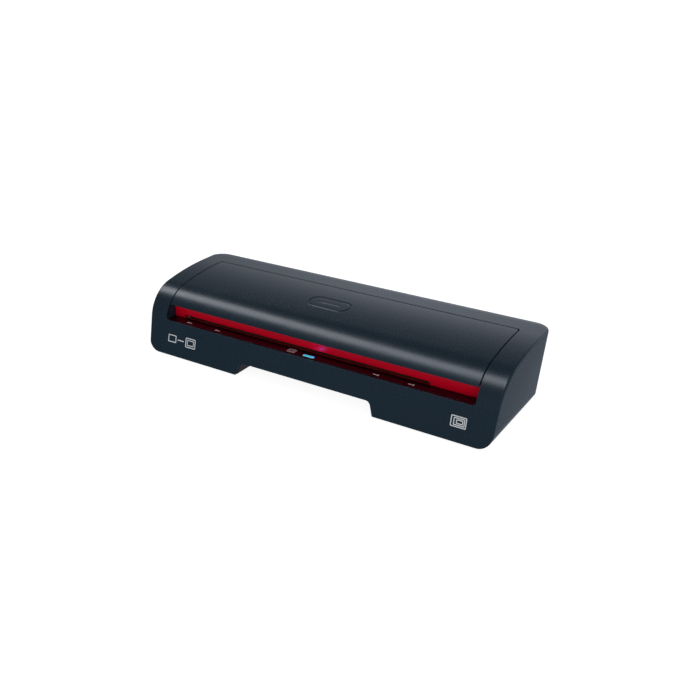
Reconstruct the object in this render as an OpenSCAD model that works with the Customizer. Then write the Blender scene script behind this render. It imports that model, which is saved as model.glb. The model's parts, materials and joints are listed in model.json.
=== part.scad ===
// Desktop pouch laminator: four heated silicone rollers in a low wedge-shaped casing.
// Frame: X to the right seen from the front, Y towards the back, Z up.
// Origin: centre of the footprint, on the surface that the feet stand on.

/* [Casing] */
// Width of the casing at its top
body_w = 331; // [320:1:400]
// Depth of the casing at its top
body_d = 106; // [104:1:130]
// Height of the casing without its feet
body_h = 59; // [58.5:0.5:72]
// Thickness of the casing walls
wall = 2.2; // [1.8:0.1:2.6]
// Lean of the front face, degrees from upright
front_lean = 15; // [10:1:16]
// Radius of the bend between the front face and the roof
bend_r = 34; // [26:1:36]
// Radius of the slow crown of the roof
crown_r = 260; // [220:5:320]
// Distance from the front foot to where the roof is level
crown_d = 84; // [78:1:90]
// Lean of the back face, degrees from upright
back_lean = 9.6; // [6:0.2:11]
// How much each side draws in from top to bottom
side_draft = 3; // [1:0.5:4]
// Radius of the two rear corners seen from above
rear_corner_r = 14; // [8:1:18]
// Radius of the lower corners seen from the front
low_corner_r = 11; // [6:1:12]

/* [Top cover] */
// Distance from a side of the casing to the cover's side seam
cover_margin = 19.4; // [17:0.2:24]
// Distance from the front foot to the cover's back seam
cover_back_d = 86.1; // [80:0.1:88]
// Width of the open seam round the cover
seam = 0.5; // [0.3:0.1:0.8]
// Thickness of the rim that the cover rests on
seat_t = 1.8; // [1.4:0.1:2]

/* [Feed mouth] */
// Height of the feed ledge above the casing's foot
ledge_h = 29.2; // [28:0.1:30]
// Height of the cover's front lip above the casing's foot
lip_h = 41.5; // [38:0.1:42]
// Distance from the front foot to the red wall of the mouth
bezel_d = 20.5; // [19:0.5:22]
// Thickness of the red wall
bezel_t = 2.2; // [1.6:0.1:2.4]
// Height of the entry slot in the red wall
slot_h = 2.4; // [2.4:0.1:5]
// Thickness of the feed ledge
ledge_t = 2.2; // [1.6:0.1:2.6]
// Length and width of the status light
led_size = [10.6, 2.8];
// Distance from the front foot to the status light
led_d = 13.2; // [12.6:0.1:14]

/* [Notch and base] */
// Width of the notch under the casing, at the bottom
notch_w = 132; // [110:1:140]
// Height of the notch
notch_h = 11; // [9:0.5:12.5]
// Lean of the notch's sides, degrees from upright
notch_lean = 20; // [5:1:30]
// Radius of the notch's upper corners
notch_r = 3; // [1:0.5:5]
// Thickness of the base tray
tray_t = 2.2; // [1.8:0.1:2.6]
// Gap between the base tray and the casing
tray_gap = 0.3; // [0.2:0.1:0.5]
// Height that the rubber feet lift the casing
foot_h = 1; // [0.8:0.1:2]
// Radius of a rubber foot
foot_r = 5; // [4:0.5:7]

/* [Paper path] */
// Widest pouch that the path takes
path_w = 240; // [220:1:242]
// Distance from the casing's left side to the path
left_bay = 29.5; // [28:0.5:40]
// Height of the pouch path above the casing's foot
path_h = 31; // [30.5:0.1:31.4]

/* [Rollers] */
// Diameter of the silicone rollers
roller_d = 16; // [13:0.1:16.4]
// Diameter of the roller shafts
shaft_d = 6; // [4.5:0.1:6.4]
// Gap between a pair of rollers with no pouch in it
nip_gap = 0.1; // [0.05:0.05:0.3]
// How far the upper rollers can rise against their springs
nip_lift = 0.6; // [0.3:0.1:0.9]
// Distance from the front foot to the front pair of rollers
front_pair_d = 37; // [36:0.5:40]
// Radial clearance of a shaft in its bearing
bearing_gap = 0.05; // [0.02:0.01:0.1]
// Clearance of a sliding block in its slot, each side
slide_gap = 0.1; // [0.05:0.05:0.2]

/* [Gears] */
// Teeth of a roller gear
roller_teeth = 16; // [14:1:18]
// Teeth of the idler gear
idler_teeth = 28; // [26:1:30]
// Teeth of the motor pinion
pinion_teeth = 14; // [12:1:16]
// Width of the gears
gear_w = 7; // [5:0.5:8]
// Play between meshed teeth, measured along the pitch circle
backlash = 0.22; // [0.16:0.02:0.4]

/* [Frames and heaters] */
// Thickness of the steel side frames
frame_t = 2; // [1.5:0.1:2.4]
// Gap between the end of a roller and the frame
roller_end_gap = 6; // [5:0.5:8]
// Thickness of an aluminium heater plate
heater_t = 4; // [3:0.5:4.5]
// Gap between the heater plates
heater_gap = 2; // [1.5:0.1:3]
// Diameter of the motor can
motor_d = 43; // [36:1:43]
// Length of the motor can
motor_len = 18; // [14:1:19]

/* [Rear panel] */
// Distance of the rocker switch from the right side of the casing
switch_margin = 29.5; // [28:0.5:32]
// Height of the rocker switch above the casing's foot
switch_h = 23; // [20:1:30]
// Distance of the cord gland from the right side of the casing
gland_margin = 49.5; // [48:0.5:52]
// Height of the cord gland above the casing's foot
gland_h = 14; // [12:1:18]
// Radius of the hole through the cord gland
gland_bore_r = 3.3; // [2.5:0.1:3.6]

/* [Hidden] */
$fn = 48;

// Colours
shell_colour = "#2b333b";
red_colour = "#a00d24";
ledge_colour = "#2a0a18";
black_plastic = "#1b1d20";
steel = "#b9bec4";
rubber = "#26282b";
silicone = "#8a3a2c";
nylon = "#e6e2d6";
aluminium = "#c9ccd1";
mica = "#b88b4a";
board_green = "#1f6a3a";
light_blue = "#4fc3d6";

// Casing
far = 400;
case_top = foot_h + body_h;
draft_slope = side_draft / body_h;
back_slope = tan(back_lean);
low_half_w = body_w / 2 - side_draft;
cover_half = body_w / 2 - cover_margin;
ledge_z = foot_h + ledge_h;
lip_z = foot_h + lip_h;
seat_inset = wall + seat_t;
seat_rim = 5;
seat_front_d = bezel_d + bezel_t + 2;
soffit_t = 2;
cheek_t = 2;
arc_steps = 8;

// Base tray
tray_top = foot_h + tray_t;
tray_half = low_half_w - low_corner_r - 1;
foot_sink = 1;
foot_x = 118;
foot_front_d = 15;
foot_back_d = 86;
boss_x = 90;
boss_end_x = tray_half - 7;
boss_front_d = 12;
boss_end_d = 13;
boss_back_d = 89;
boss_r = 3.3;
boss_top = foot_h + 13;
screw_r = 1.45;
screw_head_r = 2.8;
screw_head_t = 2;
screw_seat = foot_h + 4;

// Paper path and rollers
path_x = left_bay + path_w / 2 - body_w / 2;
path_z = foot_h + path_h;
axle_gap = roller_d + nip_gap;
gear_m = axle_gap / roller_teeth;
front_y = front_pair_d - body_d / 2;
rear_y = front_y + gear_m * (roller_teeth + idler_teeth);
low_axle_z = path_z - axle_gap / 2;
top_axle_z = path_z + axle_gap / 2;
frame_left_x = path_x - path_w / 2 - roller_end_gap - frame_t;
frame_right_x = path_x + path_w / 2 + roller_end_gap;
frame_right_out = frame_right_x + frame_t;

// Bearings and springs
bush_r = shaft_d / 2 + 2;
bush_flange_r = bush_r + 1.5;
bush_flange_t = 1.2;
block_half = shaft_d / 2 + 2;
block_up = shaft_d / 2 + 1.5;
block_down = shaft_d / 2 + 2;
block_flange = 1.5;
block_flange_t = 1.5;
cap_z = foot_h + 47.3;
cap_t = 1.4;
cap_half = 6.8;
cap_leg = 2.8;
spring_r = 2.15;
spring_wire_r = 0.35;
spring_turns = 3;
spring_sides = 6;
spring_steps = 14;

// Gear train
gear_x = frame_right_out + 2.5;
gear_end_x = gear_x + gear_w;
idler_y = front_y + gear_m * (roller_teeth + idler_teeth) / 2;
pinion_z = low_axle_z + gear_m * (idler_teeth + pinion_teeth) / 2;
pressure_angle = 20;
stub_r = 2.5;
front_turn = 0;
idler_turn = mesh_turn(front_turn, roller_teeth, idler_teeth, 0);
rear_turn = mesh_turn(idler_turn, idler_teeth, roller_teeth, 0);
upper_front_turn = mesh_turn(front_turn, roller_teeth, roller_teeth, 90);
upper_rear_turn = mesh_turn(rear_turn, roller_teeth, roller_teeth, 90);
pinion_turn = mesh_turn(idler_turn, idler_teeth, pinion_teeth, 90);

// Frames
frame_foot_z = foot_h + 5;
frame_front_y = front_y - block_half - 3;
frame_back_y = rear_y + block_half + 3;
frame_peak_z = foot_h + 51.6;
flange_len = 10;
frame_screw_in = 5;

// Heaters
heater_edge = 2;
heater_front_y = front_y + roller_d / 2 + heater_edge;
heater_back_y = rear_y - roller_d / 2 - heater_edge;
heater_mid_y = (heater_front_y + heater_back_y) / 2;
heater_screw_y = 6;
upper_heater_z = path_z + heater_gap / 2;
lower_heater_z = path_z - heater_gap / 2 - heater_t;
element_t = 1.6;
element_half = (heater_back_y - heater_front_y) / 2 - 4;
element_margin = 14;
thermostat_x = frame_right_x - 28;
thermostat_r = 6.5;
fuse_x = frame_right_x - 44;
shield_z = foot_h + 46;
shield_t = 1;
tie_screw_z = foot_h + 49;
small_screw_r = 1.25;
small_head_r = 2.4;
small_head_t = 1.8;
small_screw_len = 8;

// Motor
bracket_x = gear_end_x + 3;
bracket_t = 2;
motor_x = bracket_x + bracket_t;
motor_z = pinion_z - 12.8;
motor_plate_t = 2;
motor_boss_r = 6;
motor_ear_y = motor_d / 2 + 3;
standoff_r = 3;
standoff_low_y = 19;
standoff_low_z = foot_h + 8.5;
standoff_high_y = 10.5;
standoff_high_z = foot_h + 49;

// Control board
board_t = 1.6;
board_x = motor_x + motor_plate_t + motor_len + 2;
board_half_y = 28;
board_low_z = foot_h + 9;
board_high_z = foot_h + 45;
board_post_y = 20;

// Rear panel
gland_x = body_w / 2 - gland_margin;
gland_z = foot_h + gland_h;
gland_r = gland_bore_r + 1.7;
gland_boss_r = gland_r + 2.5;
gland_face_y = back_y(gland_z) + 1.4;
gland_inner_y = gland_face_y - 7;
gland_flange_t = 2;
switch_x = body_w / 2 - switch_margin;
switch_z = foot_h + switch_h;
switch_hole = [13, 19];
switch_bezel = [15, 21, 2];
switch_deep = 13;
rocker_w = 10;
rocker_r = 8;
rocker_play = 0.2;
rocker_sunk = 2;
rocker_lift = 9;
trunnion_r = 1.2;

// Exit
exit_half = path_w / 2 + 1;
exit_low_z = path_z - 1.6;
exit_high_z = path_z + 2.8;
exit_front_y = rear_y + roller_d / 2 + 1;

// ---------------------------------------------------------------- geometry helpers

// Distance from the front foot turned into Y
function from_front(d) = d - body_d / 2;

// Y of the back face at height z
function back_y(z) = body_d / 2 - (case_top - z) * back_slope;

// Turn of gear B in mesh with gear A that lies in direction phi from it
function mesh_turn(turn_a, teeth_a, teeth_b, phi) =
    phi + 180 - 180 / teeth_b - (turn_a - phi) * teeth_a / teeth_b;

// Points of an arc from angle a0 to angle a1
function arc(c, r, a0, a1, steps = arc_steps) =
    [for (i = [0 : steps]) let (a = a0 + (a1 - a0) * i / steps) [c.x + r * cos(a), c.y + r * sin(a)]];

// The bend's centre, tangent to the leaning front face and to the crown of the roof
front_in = [cos(front_lean), -sin(front_lean)];
front_up = [sin(front_lean), cos(front_lean)];
crown_c = [crown_d, body_h - crown_r];
bend_from_crown = bend_r * front_in - crown_c;
bend_along = bend_from_crown * front_up;
bend_rise = sqrt(bend_along * bend_along - bend_from_crown * bend_from_crown
    + (crown_r - bend_r) * (crown_r - bend_r)) - bend_along;
bend_c = bend_r * front_in + bend_rise * front_up;
crown_turn = atan2(bend_c.y - crown_c.y, bend_c.x - crown_c.x);

// Distance of the front face's offset line from the front foot, at height h
function front_d(inset, h) = h * tan(front_lean) + inset / cos(front_lean);

// Side outline as [distance from the front foot, height], offset inwards by inset
function side_outline(inset, low) = concat(
    [[front_d(inset, low), low]],
    arc(bend_c, bend_r - inset, 180 - front_lean, crown_turn),
    arc(crown_c, crown_r - inset, crown_turn, 90),
    [[body_d + far, body_h - inset], [body_d + far, low]]
);

// Sizes of the leaning rear corner: it runs along the line where the side and the back meet
corner_tilt = atan(draft_slope);
corner_lean = atan(back_slope * cos(corner_tilt));
corner_skew = back_slope * sin(corner_tilt)
    / (cos(corner_lean) + back_slope * sin(corner_lean) * cos(corner_tilt));

// Plan of the right rear corner in its own leaning frame, offset inwards by inset
function corner_plan(inset) = let (
    c = [-rear_corner_r, -rear_corner_r * sqrt(1 + corner_skew * corner_skew) + corner_skew * rear_corner_r],
    r = rear_corner_r - inset,
    a = atan2(1, corner_skew),
    back = [c.x + r * cos(a), c.y + r * sin(a)]
) concat(
    arc(c, r, 0, a),
    [back + 2 * far * [-1, corner_skew], [-2 * far, -far], [c.x + r, -far]]
);

// Front outline of the two lower corners, offset inwards by inset
function low_outline(inset, low) = let (
    c = [low_half_w + draft_slope * low_corner_r - low_corner_r / cos(corner_tilt), low_corner_r],
    r = low_corner_r - inset,
    right = arc(c, r, -90, -corner_tilt)
) concat(
    [[right[0].x, low]], right, [[far, right[arc_steps].y], [far, far], [-far, far]],
    [[-far, right[arc_steps].y]], [for (i = [arc_steps : -1 : 0]) [-right[i].x, right[i].y]],
    [[-right[0].x, low]]
);

// Extrude an outline drawn in [Y, Z] along X
module along_x(x0, x1) {
    translate([x0, 0, 0]) rotate([90, 0, 90]) linear_extrude(x1 - x0) children();
}

// Extrude an outline drawn in [X, Z] along Y
module along_y(y0, y1) {
    translate([0, y1, 0]) rotate([90, 0, 0]) linear_extrude(y1 - y0) children();
}

// A box given by two corners
module block(a, b) {
    translate(a) cube(b - a);
}

// A cylinder along X
module rod_x(x0, x1, y, z, r) {
    translate([x0, y, z]) rotate([0, 90, 0]) cylinder(h = x1 - x0, r = r);
}

// A cylinder along Y
module rod_y(x, y0, y1, z, r) {
    translate([x, y1, z]) rotate([90, 0, 0]) cylinder(h = y1 - y0, r = r);
}

// A cylinder along Z
module rod_z(x, y, z0, z1, r) {
    translate([x, y, z0]) cylinder(h = z1 - z0, r = r);
}

// The casing's outer form offset inwards by inset; low is its open or closed underside
module envelope(inset, low = 0) {
    intersection() {
        translate([0, from_front(0), foot_h])
            along_x(-far, far) polygon(side_outline(inset, low));
        rear_corner(inset);
        mirror([1, 0, 0]) rear_corner(inset);
        translate([0, 0, foot_h]) along_y(-far, far) polygon(low_outline(inset, low));
    }
}

// Prism of the right rear corner, leaning with the side and the back
module rear_corner(inset) {
    translate([body_w / 2, body_d / 2, case_top])
        rotate([-corner_lean, corner_tilt, 0])
            translate([0, 0, -far]) linear_extrude(2 * far) polygon(corner_plan(inset));
}

// Outline of the notch: straight leaning sides and round upper corners
function notch_outline(grow) = let (
    half = notch_w / 2 + grow / cos(notch_lean),
    top = notch_h + grow,
    r = notch_r + grow,
    c = [half - top * tan(notch_lean) - r * tan((90 - notch_lean) / 2), top - r],
    right = arc(c, r, notch_lean, 90)
) concat(
    [[half + 2 * tan(notch_lean), -2]], right, [for (i = [arc_steps : -1 : 0]) [-right[i].x, right[i].y]],
    [[-half - 2 * tan(notch_lean), -2]]
);

// Places of the screws that hold the base tray, as [x, y]
case_screw_places = [
    for (side = [-1, 1]) each [
        [side * boss_end_x, from_front(boss_end_d)],
        [side * boss_x, from_front(boss_front_d)],
        [side * boss_x, from_front(boss_back_d)]
    ]
];

// ---------------------------------------------------------------- casing

module window() {
    block([-cover_half, from_front(-far), ledge_z], [cover_half, from_front(cover_back_d), case_top + far]);
}

// Where the inner rim for the cover stays thick
module seat_zone() {
    rim = [cover_half - seat_rim, from_front(cover_back_d - seat_rim)];
    out = [cover_half + seat_rim, from_front(cover_back_d + 3)];
    difference() {
        block([-out.x, from_front(seat_front_d), lip_z + 2], [out.x, out.y, case_top]);
        block([-rim.x, from_front(-far), 0], [rim.x, rim.y, case_top + far]);
    }
}

// A dark cheek that closes one end of the feed mouth
module mouth_cheek() {
    intersection() {
        block([cover_half, from_front(0), ledge_z - 4],
            [cover_half + cheek_t, from_front(bezel_d + bezel_t), lip_z + 6]);
        envelope(wall / 2);
    }
}

module upper_case() {
    color(shell_colour) difference() {
        union() {
            difference() {
                envelope(0);
                envelope(seat_inset, -1);
                difference() {
                    envelope(wall, -1);
                    seat_zone();
                }
                difference() {
                    window();
                    envelope(wall, -1);
                }
                block([-tray_half - tray_gap, front_edge_y(tray_t), 0],
                    [tray_half + tray_gap, back_y(foot_h + tray_t) - wall, foot_h + wall + 0.2]);
            }
            mouth_cheek();
            mirror([1, 0, 0]) mouth_cheek();
            for (p = case_screw_places) case_boss(p);
            intersection() {
                rod_y(gland_x, gland_inner_y + 2, gland_face_y, gland_z, gland_boss_r);
                block([-far, -far, foot_h + wall], [far, far, far]);
            }
        }
        window_front();
        translate([0, 0, foot_h]) along_y(-far, far) polygon(notch_outline(0));
        for (p = case_screw_places) rod_z(p.x, p.y, screw_seat - 1, boss_top - 1.5, screw_r);
        block([path_x - exit_half, rear_y + roller_d / 2, exit_low_z - 0.4],
            [path_x + exit_half, far, exit_high_z + 0.4]);
        rod_y(gland_x, gland_inner_y - 5, far, gland_z, gland_r);
        on_back(switch_x, switch_z)
            block([-switch_hole.x / 2, -5, -switch_hole.y / 2], [switch_hole.x / 2, 5, switch_hole.y / 2]);
    }
}

// Y of the inner front face at height h above the foot
function front_edge_y(h) = from_front(front_d(wall, h));

// Clears the mouth in front of the red wall
module window_front() {
    block([-cover_half, from_front(-far), ledge_z], [cover_half, from_front(bezel_d + bezel_t), lip_z]);
}

// A screw boss that is tied to the nearest wall by a web
module case_boss(p) {
    wall_y = p.y < 0 ? from_front(front_d(wall / 2, 10)) : back_y(foot_h + 4) - wall / 2;
    intersection() {
        union() {
            rod_z(p.x, p.y, screw_seat, boss_top, boss_r);
            block([p.x - 1, min(p.y, wall_y), screw_seat], [p.x + 1, max(p.y, wall_y), boss_top]);
        }
        envelope(wall / 2);
    }
}

module on_back(x, z) {
    translate([x, back_y(z), z]) rotate([-back_lean, 0, 0]) children();
}

module top_cover() {
    color(shell_colour) intersection() {
        difference() {
            envelope(0);
            difference() {
                envelope(wall, -1);
                block([-far, -far, 0], [far, from_front(bezel_d), lip_z + soffit_t]);
            }
        }
        block([seam - cover_half, from_front(-1), lip_z],
            [cover_half - seam, from_front(cover_back_d - seam), case_top + 1]);
    }
}

module base_tray() {
    color(black_plastic) difference() {
        union() {
            intersection() {
                block([-tray_half, -far, foot_h], [tray_half, far, tray_top]);
                envelope(wall + tray_gap, -1);
            }
            intersection() {
                translate([0, 0, foot_h]) along_y(-far, far) polygon(notch_outline(1.6));
                block([-far, -far, foot_h], [far, far, far]);
                envelope(wall + tray_gap, -1);
            }
            for (p = case_screw_places) rod_z(p.x, p.y, foot_h, screw_seat, boss_r + 0.7);
            for (x = frame_screw_x, y = frame_screw_ys) rod_z(x, y, tray_top - 0.5, frame_foot_z, 3.5);
            for (side = [-1, 1]) board_post(side * board_post_y);
        }
        translate([0, 0, foot_h]) along_y(-far, far) polygon(notch_outline(0));
        for (p = case_screw_places) {
            rod_z(p.x, p.y, 0, screw_seat - 1.6, screw_head_r + 0.2);
            rod_z(p.x, p.y, 0, far, screw_r);
        }
        for (x = frame_screw_x, y = frame_screw_ys) rod_z(x, y, tray_top, far, screw_r);
        for (x = [-foot_x, foot_x], d = [foot_front_d, foot_back_d])
            rod_z(x, from_front(d), 0, foot_h + foot_sink, foot_r);
        for (side = [-1, 1], i = [0 : 5])
            block([side * 84 - 12, from_front(30 + 8 * i), 0],
                [side * 84 + 12, from_front(32.4 + 8 * i), far]);
        for (side = [-1, 1])
            block([board_x - 0.05, side * board_post_y - 5, board_low_z],
                [board_x + board_t + 0.05, side * board_post_y + 5, far]);
    }
}

// A slotted post that grips the lower edge of the control board
module board_post(y) {
    block([board_x - 3, y - 3, tray_top - 0.5], [tray_half, y + 3, board_low_z - 1]);
    block([board_x - 3, y - 3, board_low_z - 3], [board_x + board_t + 3, y + 3, board_low_z + 4]);
}

module case_screws() {
    color(steel) for (p = case_screw_places) {
        rod_z(p.x, p.y, screw_seat - 1.6 - screw_head_t, screw_seat - 1.6, screw_head_r);
        rod_z(p.x, p.y, screw_seat - 1.6, boss_top - 2.5, screw_r);
    }
}

module rubber_foot(x, d) {
    color(rubber) rod_z(x, from_front(d), 0, foot_h + foot_sink, foot_r);
}

module foot_front_left() { rubber_foot(-foot_x, foot_front_d); }

module foot_front_right() { rubber_foot(foot_x, foot_front_d); }

module foot_rear_left() { rubber_foot(-foot_x, foot_back_d); }

module foot_rear_right() { rubber_foot(foot_x, foot_back_d); }

// ---------------------------------------------------------------- feed mouth

module feed_bezel() {
    color(red_colour) difference() {
        block([0.2 - cover_half, from_front(bezel_d), ledge_z - 6],
            [cover_half - 0.2, from_front(bezel_d + bezel_t), lip_z + soffit_t + 1]);
        round_end_slot(path_w, slot_h, ledge_z);
    }
}

// Cuts the entry slot with round ends through the red wall
module round_end_slot(w, h, z) {
    for (side = [-1, 1])
        rod_y(path_x + side * (w - h) / 2, from_front(bezel_d - 1), from_front(bezel_d + bezel_t + 1),
            z + h / 2, h / 2);
    block([path_x - (w - h) / 2, from_front(bezel_d - 1), z],
        [path_x + (w - h) / 2, from_front(bezel_d + bezel_t + 1), z + h]);
}

module feed_ledge() {
    front_d_low = front_d(wall, ledge_h) + tray_gap;
    color(ledge_colour) difference() {
        union() {
            block([0.2 - cover_half, from_front(front_d_low), ledge_z - ledge_t],
                [cover_half - 0.2, from_front(bezel_d), ledge_z - 0.2]);
            for (side = [-1, 1])
                rod_z(side * 8.5, from_front(led_d + 1), led_board_z + board_t, ledge_z - ledge_t + 0.5, 1.8);
        }
        pill(led_size.x + 0.1, led_size.y + 0.1, ledge_z - far, ledge_z + 1);
    }
}

led_board_z = ledge_z - 10;

// A pill-shaped prism at the status light
module pill(l, w, z0, z1) {
    for (side = [-1, 1]) rod_z(side * (l - w) / 2, from_front(led_d), z0, z1, w / 2);
    block([-(l - w) / 2, from_front(led_d) - w / 2, z0], [(l - w) / 2, from_front(led_d) + w / 2, z1]);
}

module led_lens() {
    color(light_blue) union() {
        pill(led_size.x, led_size.y, ledge_z - 5, ledge_z);
        block([-led_size.x / 2 - 1, from_front(led_d) - led_size.y / 2, ledge_z - 5],
            [led_size.x / 2 + 1, from_front(led_d) + led_size.y / 2, ledge_z - ledge_t - 0.1]);
    }
}

module led_board() {
    y0 = from_front(led_d);
    color(board_green) block([-12, y0 - 3, led_board_z], [12, y0 + 5, led_board_z + board_t]);
    color("white") block([-1.6, y0 - 1.4, led_board_z + board_t],
        [1.6, y0 + 1.4, led_board_z + board_t + 1.2]);
}

// ---------------------------------------------------------------- frames

frame_screw_x = [frame_left_x + frame_t + frame_screw_in, frame_right_x - frame_screw_in];
frame_screw_ys = [front_y + 2, rear_y - 2];
heater_screw_ys = [heater_mid_y - heater_screw_y, heater_mid_y + heater_screw_y];
heater_screw_zs = [lower_heater_z + heater_t / 2, upper_heater_z + heater_t / 2];

// Plate of a side frame from x0, with its foot flange turned towards inward (+1 or -1)
module side_frame(x0, inward) {
    peak_y = [heater_front_y - 2, heater_back_y + 2];
    flange_x = inward > 0 ? x0 : x0 + frame_t - flange_len - frame_t;
    color(steel) difference() {
        union() {
            block([x0, frame_front_y, frame_foot_z], [x0 + frame_t, frame_back_y, cap_z]);
            block([x0, peak_y[0], cap_z - 5], [x0 + frame_t, peak_y[1], frame_peak_z]);
            block([flange_x, frame_front_y + 3, frame_foot_z],
                [flange_x + flange_len + frame_t, frame_back_y - 3, frame_foot_z + frame_t]);
        }
        for (y = [front_y, rear_y]) {
            rod_x(x0 - 1, x0 + frame_t + 1, y, low_axle_z, bush_r);
            block([x0 - 1, y - block_half - slide_gap, top_axle_z - block_down],
                [x0 + frame_t + 1, y + block_half + slide_gap, far]);
        }
        for (y = heater_screw_ys, z = heater_screw_zs) rod_x(x0 - 1, x0 + frame_t + 1, y, z, small_screw_r);
        rod_x(x0 - 1, x0 + frame_t + 1, idler_y, tie_screw_z, small_screw_r);
        for (x = frame_screw_x, y = frame_screw_ys) rod_z(x, y, 0, frame_foot_z + frame_t + 1, screw_r);
    }
}

module left_frame() { side_frame(frame_left_x, 1); }

module right_frame() { side_frame(frame_right_x, -1); }

module frame_screws() {
    color(steel) for (x = frame_screw_x, y = frame_screw_ys) {
        rod_z(x, y, tray_top + 0.2, frame_foot_z + frame_t, screw_r);
        rod_z(x, y, frame_foot_z + frame_t, frame_foot_z + frame_t + screw_head_t, screw_head_r);
    }
}

// Steel sheet that ties the frames together and keeps the heat off the cover
module heat_shield() {
    x0 = frame_left_x + frame_t;
    color(steel) difference() {
        union() {
            block([x0, heater_front_y + 1, shield_z],
                [frame_right_x, heater_back_y - 1, shield_z + shield_t]);
            for (x = [x0, frame_right_x - shield_t])
                block([x, idler_y - 7, shield_z], [x + shield_t, idler_y + 7, tie_screw_z + 3]);
        }
        rod_x(-far, far, idler_y, tie_screw_z, small_screw_r);
    }
}

// A small pan-head screw that enters along X from x, towards inward (+1 or -1)
module small_screw_x(x, y, z, inward, len) {
    rod_x(inward > 0 ? x : x - len, inward > 0 ? x + len : x, y, z, small_screw_r);
    rod_x(inward > 0 ? x - small_head_t : x, inward > 0 ? x : x + small_head_t, y, z, small_head_r);
}

module cross_screws() {
    color(steel) {
        for (y = heater_screw_ys, z = heater_screw_zs) {
            small_screw_x(frame_left_x, y, z, 1, small_screw_len);
            small_screw_x(frame_right_out, y, z, -1, small_screw_len);
        }
        small_screw_x(frame_left_x, idler_y, tie_screw_z, 1, small_screw_len);
        small_screw_x(frame_right_out, idler_y, tie_screw_z, -1, small_screw_len);
    }
}

// ---------------------------------------------------------------- rollers

module roller(y, z) {
    color(silicone) difference() {
        rod_x(path_x - path_w / 2, path_x + path_w / 2, y, z, roller_d / 2);
        rod_x(-far, far, y, z, shaft_d / 2);
    }
}

module shaft(y, z) {
    color(steel) rod_x(frame_left_x - 4, gear_end_x + 1, y, z, shaft_d / 2);
}

module lower_front_roller() { roller(front_y, low_axle_z); }

module lower_front_shaft() { shaft(front_y, low_axle_z); }

module upper_front_roller() { roller(front_y, top_axle_z); }

module upper_front_shaft() { shaft(front_y, top_axle_z); }

module lower_rear_roller() { roller(rear_y, low_axle_z); }

module lower_rear_shaft() { shaft(rear_y, low_axle_z); }

module upper_rear_roller() { roller(rear_y, top_axle_z); }

module upper_rear_shaft() { shaft(rear_y, top_axle_z); }

// Flanged bush pressed into a frame, its flange on the inner side
module bush(x0, inward, y) {
    flange_x = inward > 0 ? x0 + frame_t : x0 - bush_flange_t;
    difference() {
        union() {
            rod_x(x0, x0 + frame_t, y, low_axle_z, bush_r);
            rod_x(flange_x, flange_x + bush_flange_t, y, low_axle_z, bush_flange_r);
        }
        rod_x(-far, far, y, low_axle_z, shaft_d / 2 + bearing_gap);
    }
}

module lower_bushes() {
    color(nylon) for (y = [front_y, rear_y]) {
        bush(frame_left_x, 1, y);
        bush(frame_right_x, -1, y);
    }
}

// Bearing block that slides up and down in a frame's slot
module bearing_block(x0, y) {
    low = top_axle_z - block_down;
    high = top_axle_z + block_up;
    color(nylon) difference() {
        union() {
            block([x0 - slide_gap, y - block_half, low], [x0 + frame_t + slide_gap, y + block_half, high]);
            for (x = [x0 - slide_gap - block_flange_t, x0 + frame_t + slide_gap])
                block([x, y - block_half - block_flange, low],
                    [x + block_flange_t, y + block_half + block_flange, high]);
        }
        rod_x(-far, far, y, top_axle_z, shaft_d / 2 + bearing_gap);
    }
}

module front_block_left() { bearing_block(frame_left_x, front_y); }

module front_block_right() { bearing_block(frame_right_x, front_y); }

module rear_block_left() { bearing_block(frame_left_x, rear_y); }

module rear_block_right() { bearing_block(frame_right_x, rear_y); }

// Rings of a coil spring from z0 to z1: each ring is a small polygon across the wire
function coil_point(i, k, z0, z1) = let (
    steps = spring_turns * spring_steps,
    turn = 360 * i / spring_steps,
    across = 360 * k / spring_sides,
    mid_z = z0 + spring_wire_r + (z1 - z0 - 2 * spring_wire_r) * i / steps,
    r = spring_r + spring_wire_r * cos(across)
) [r * cos(turn), r * sin(turn), mid_z + spring_wire_r * sin(across)];

module nip_spring(x0, y) {
    z0 = top_axle_z + block_up;
    rings = spring_turns * spring_steps;
    n = spring_sides;
    points = [for (i = [0 : rings], k = [0 : n - 1]) coil_point(i, k, z0, cap_z)];
    sides = [for (i = [0 : rings - 1], k = [0 : n - 1])
        [i * n + k, i * n + (k + 1) % n, (i + 1) * n + (k + 1) % n, (i + 1) * n + k]];
    ends = [[for (k = [n - 1 : -1 : 0]) k], [for (k = [0 : n - 1]) rings * n + k]];
    color(steel) translate([x0 + frame_t / 2, y, 0]) polyhedron(points, concat(sides, ends));
}

module front_spring_left() { nip_spring(frame_left_x, front_y); }

module front_spring_right() { nip_spring(frame_right_x, front_y); }

module rear_spring_left() { nip_spring(frame_left_x, rear_y); }

module rear_spring_right() { nip_spring(frame_right_x, rear_y); }

// Clips that close the slots' tops and hold the springs down
module spring_caps() {
    color(steel) for (x0 = [frame_left_x, frame_right_x], y = [front_y, rear_y]) {
        block([x0 - cap_t, y - cap_half, cap_z], [x0 + frame_t + cap_t, y + cap_half, cap_z + cap_t]);
        for (x = [x0 - cap_t, x0 + frame_t], side = [-1, 1])
            block([x, side > 0 ? y + block_half + 0.3 : y - cap_half, cap_z - cap_leg],
                [x + cap_t, side > 0 ? y + cap_half : y - block_half - 0.3, cap_z]);
    }
}

// ---------------------------------------------------------------- gears

// Angle between the start of an involute and radius r, for a base circle of radius b
function involute_angle(b, r) = let (a = acos(min(1, b / r))) tan(a) * 180 / PI - a;

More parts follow.
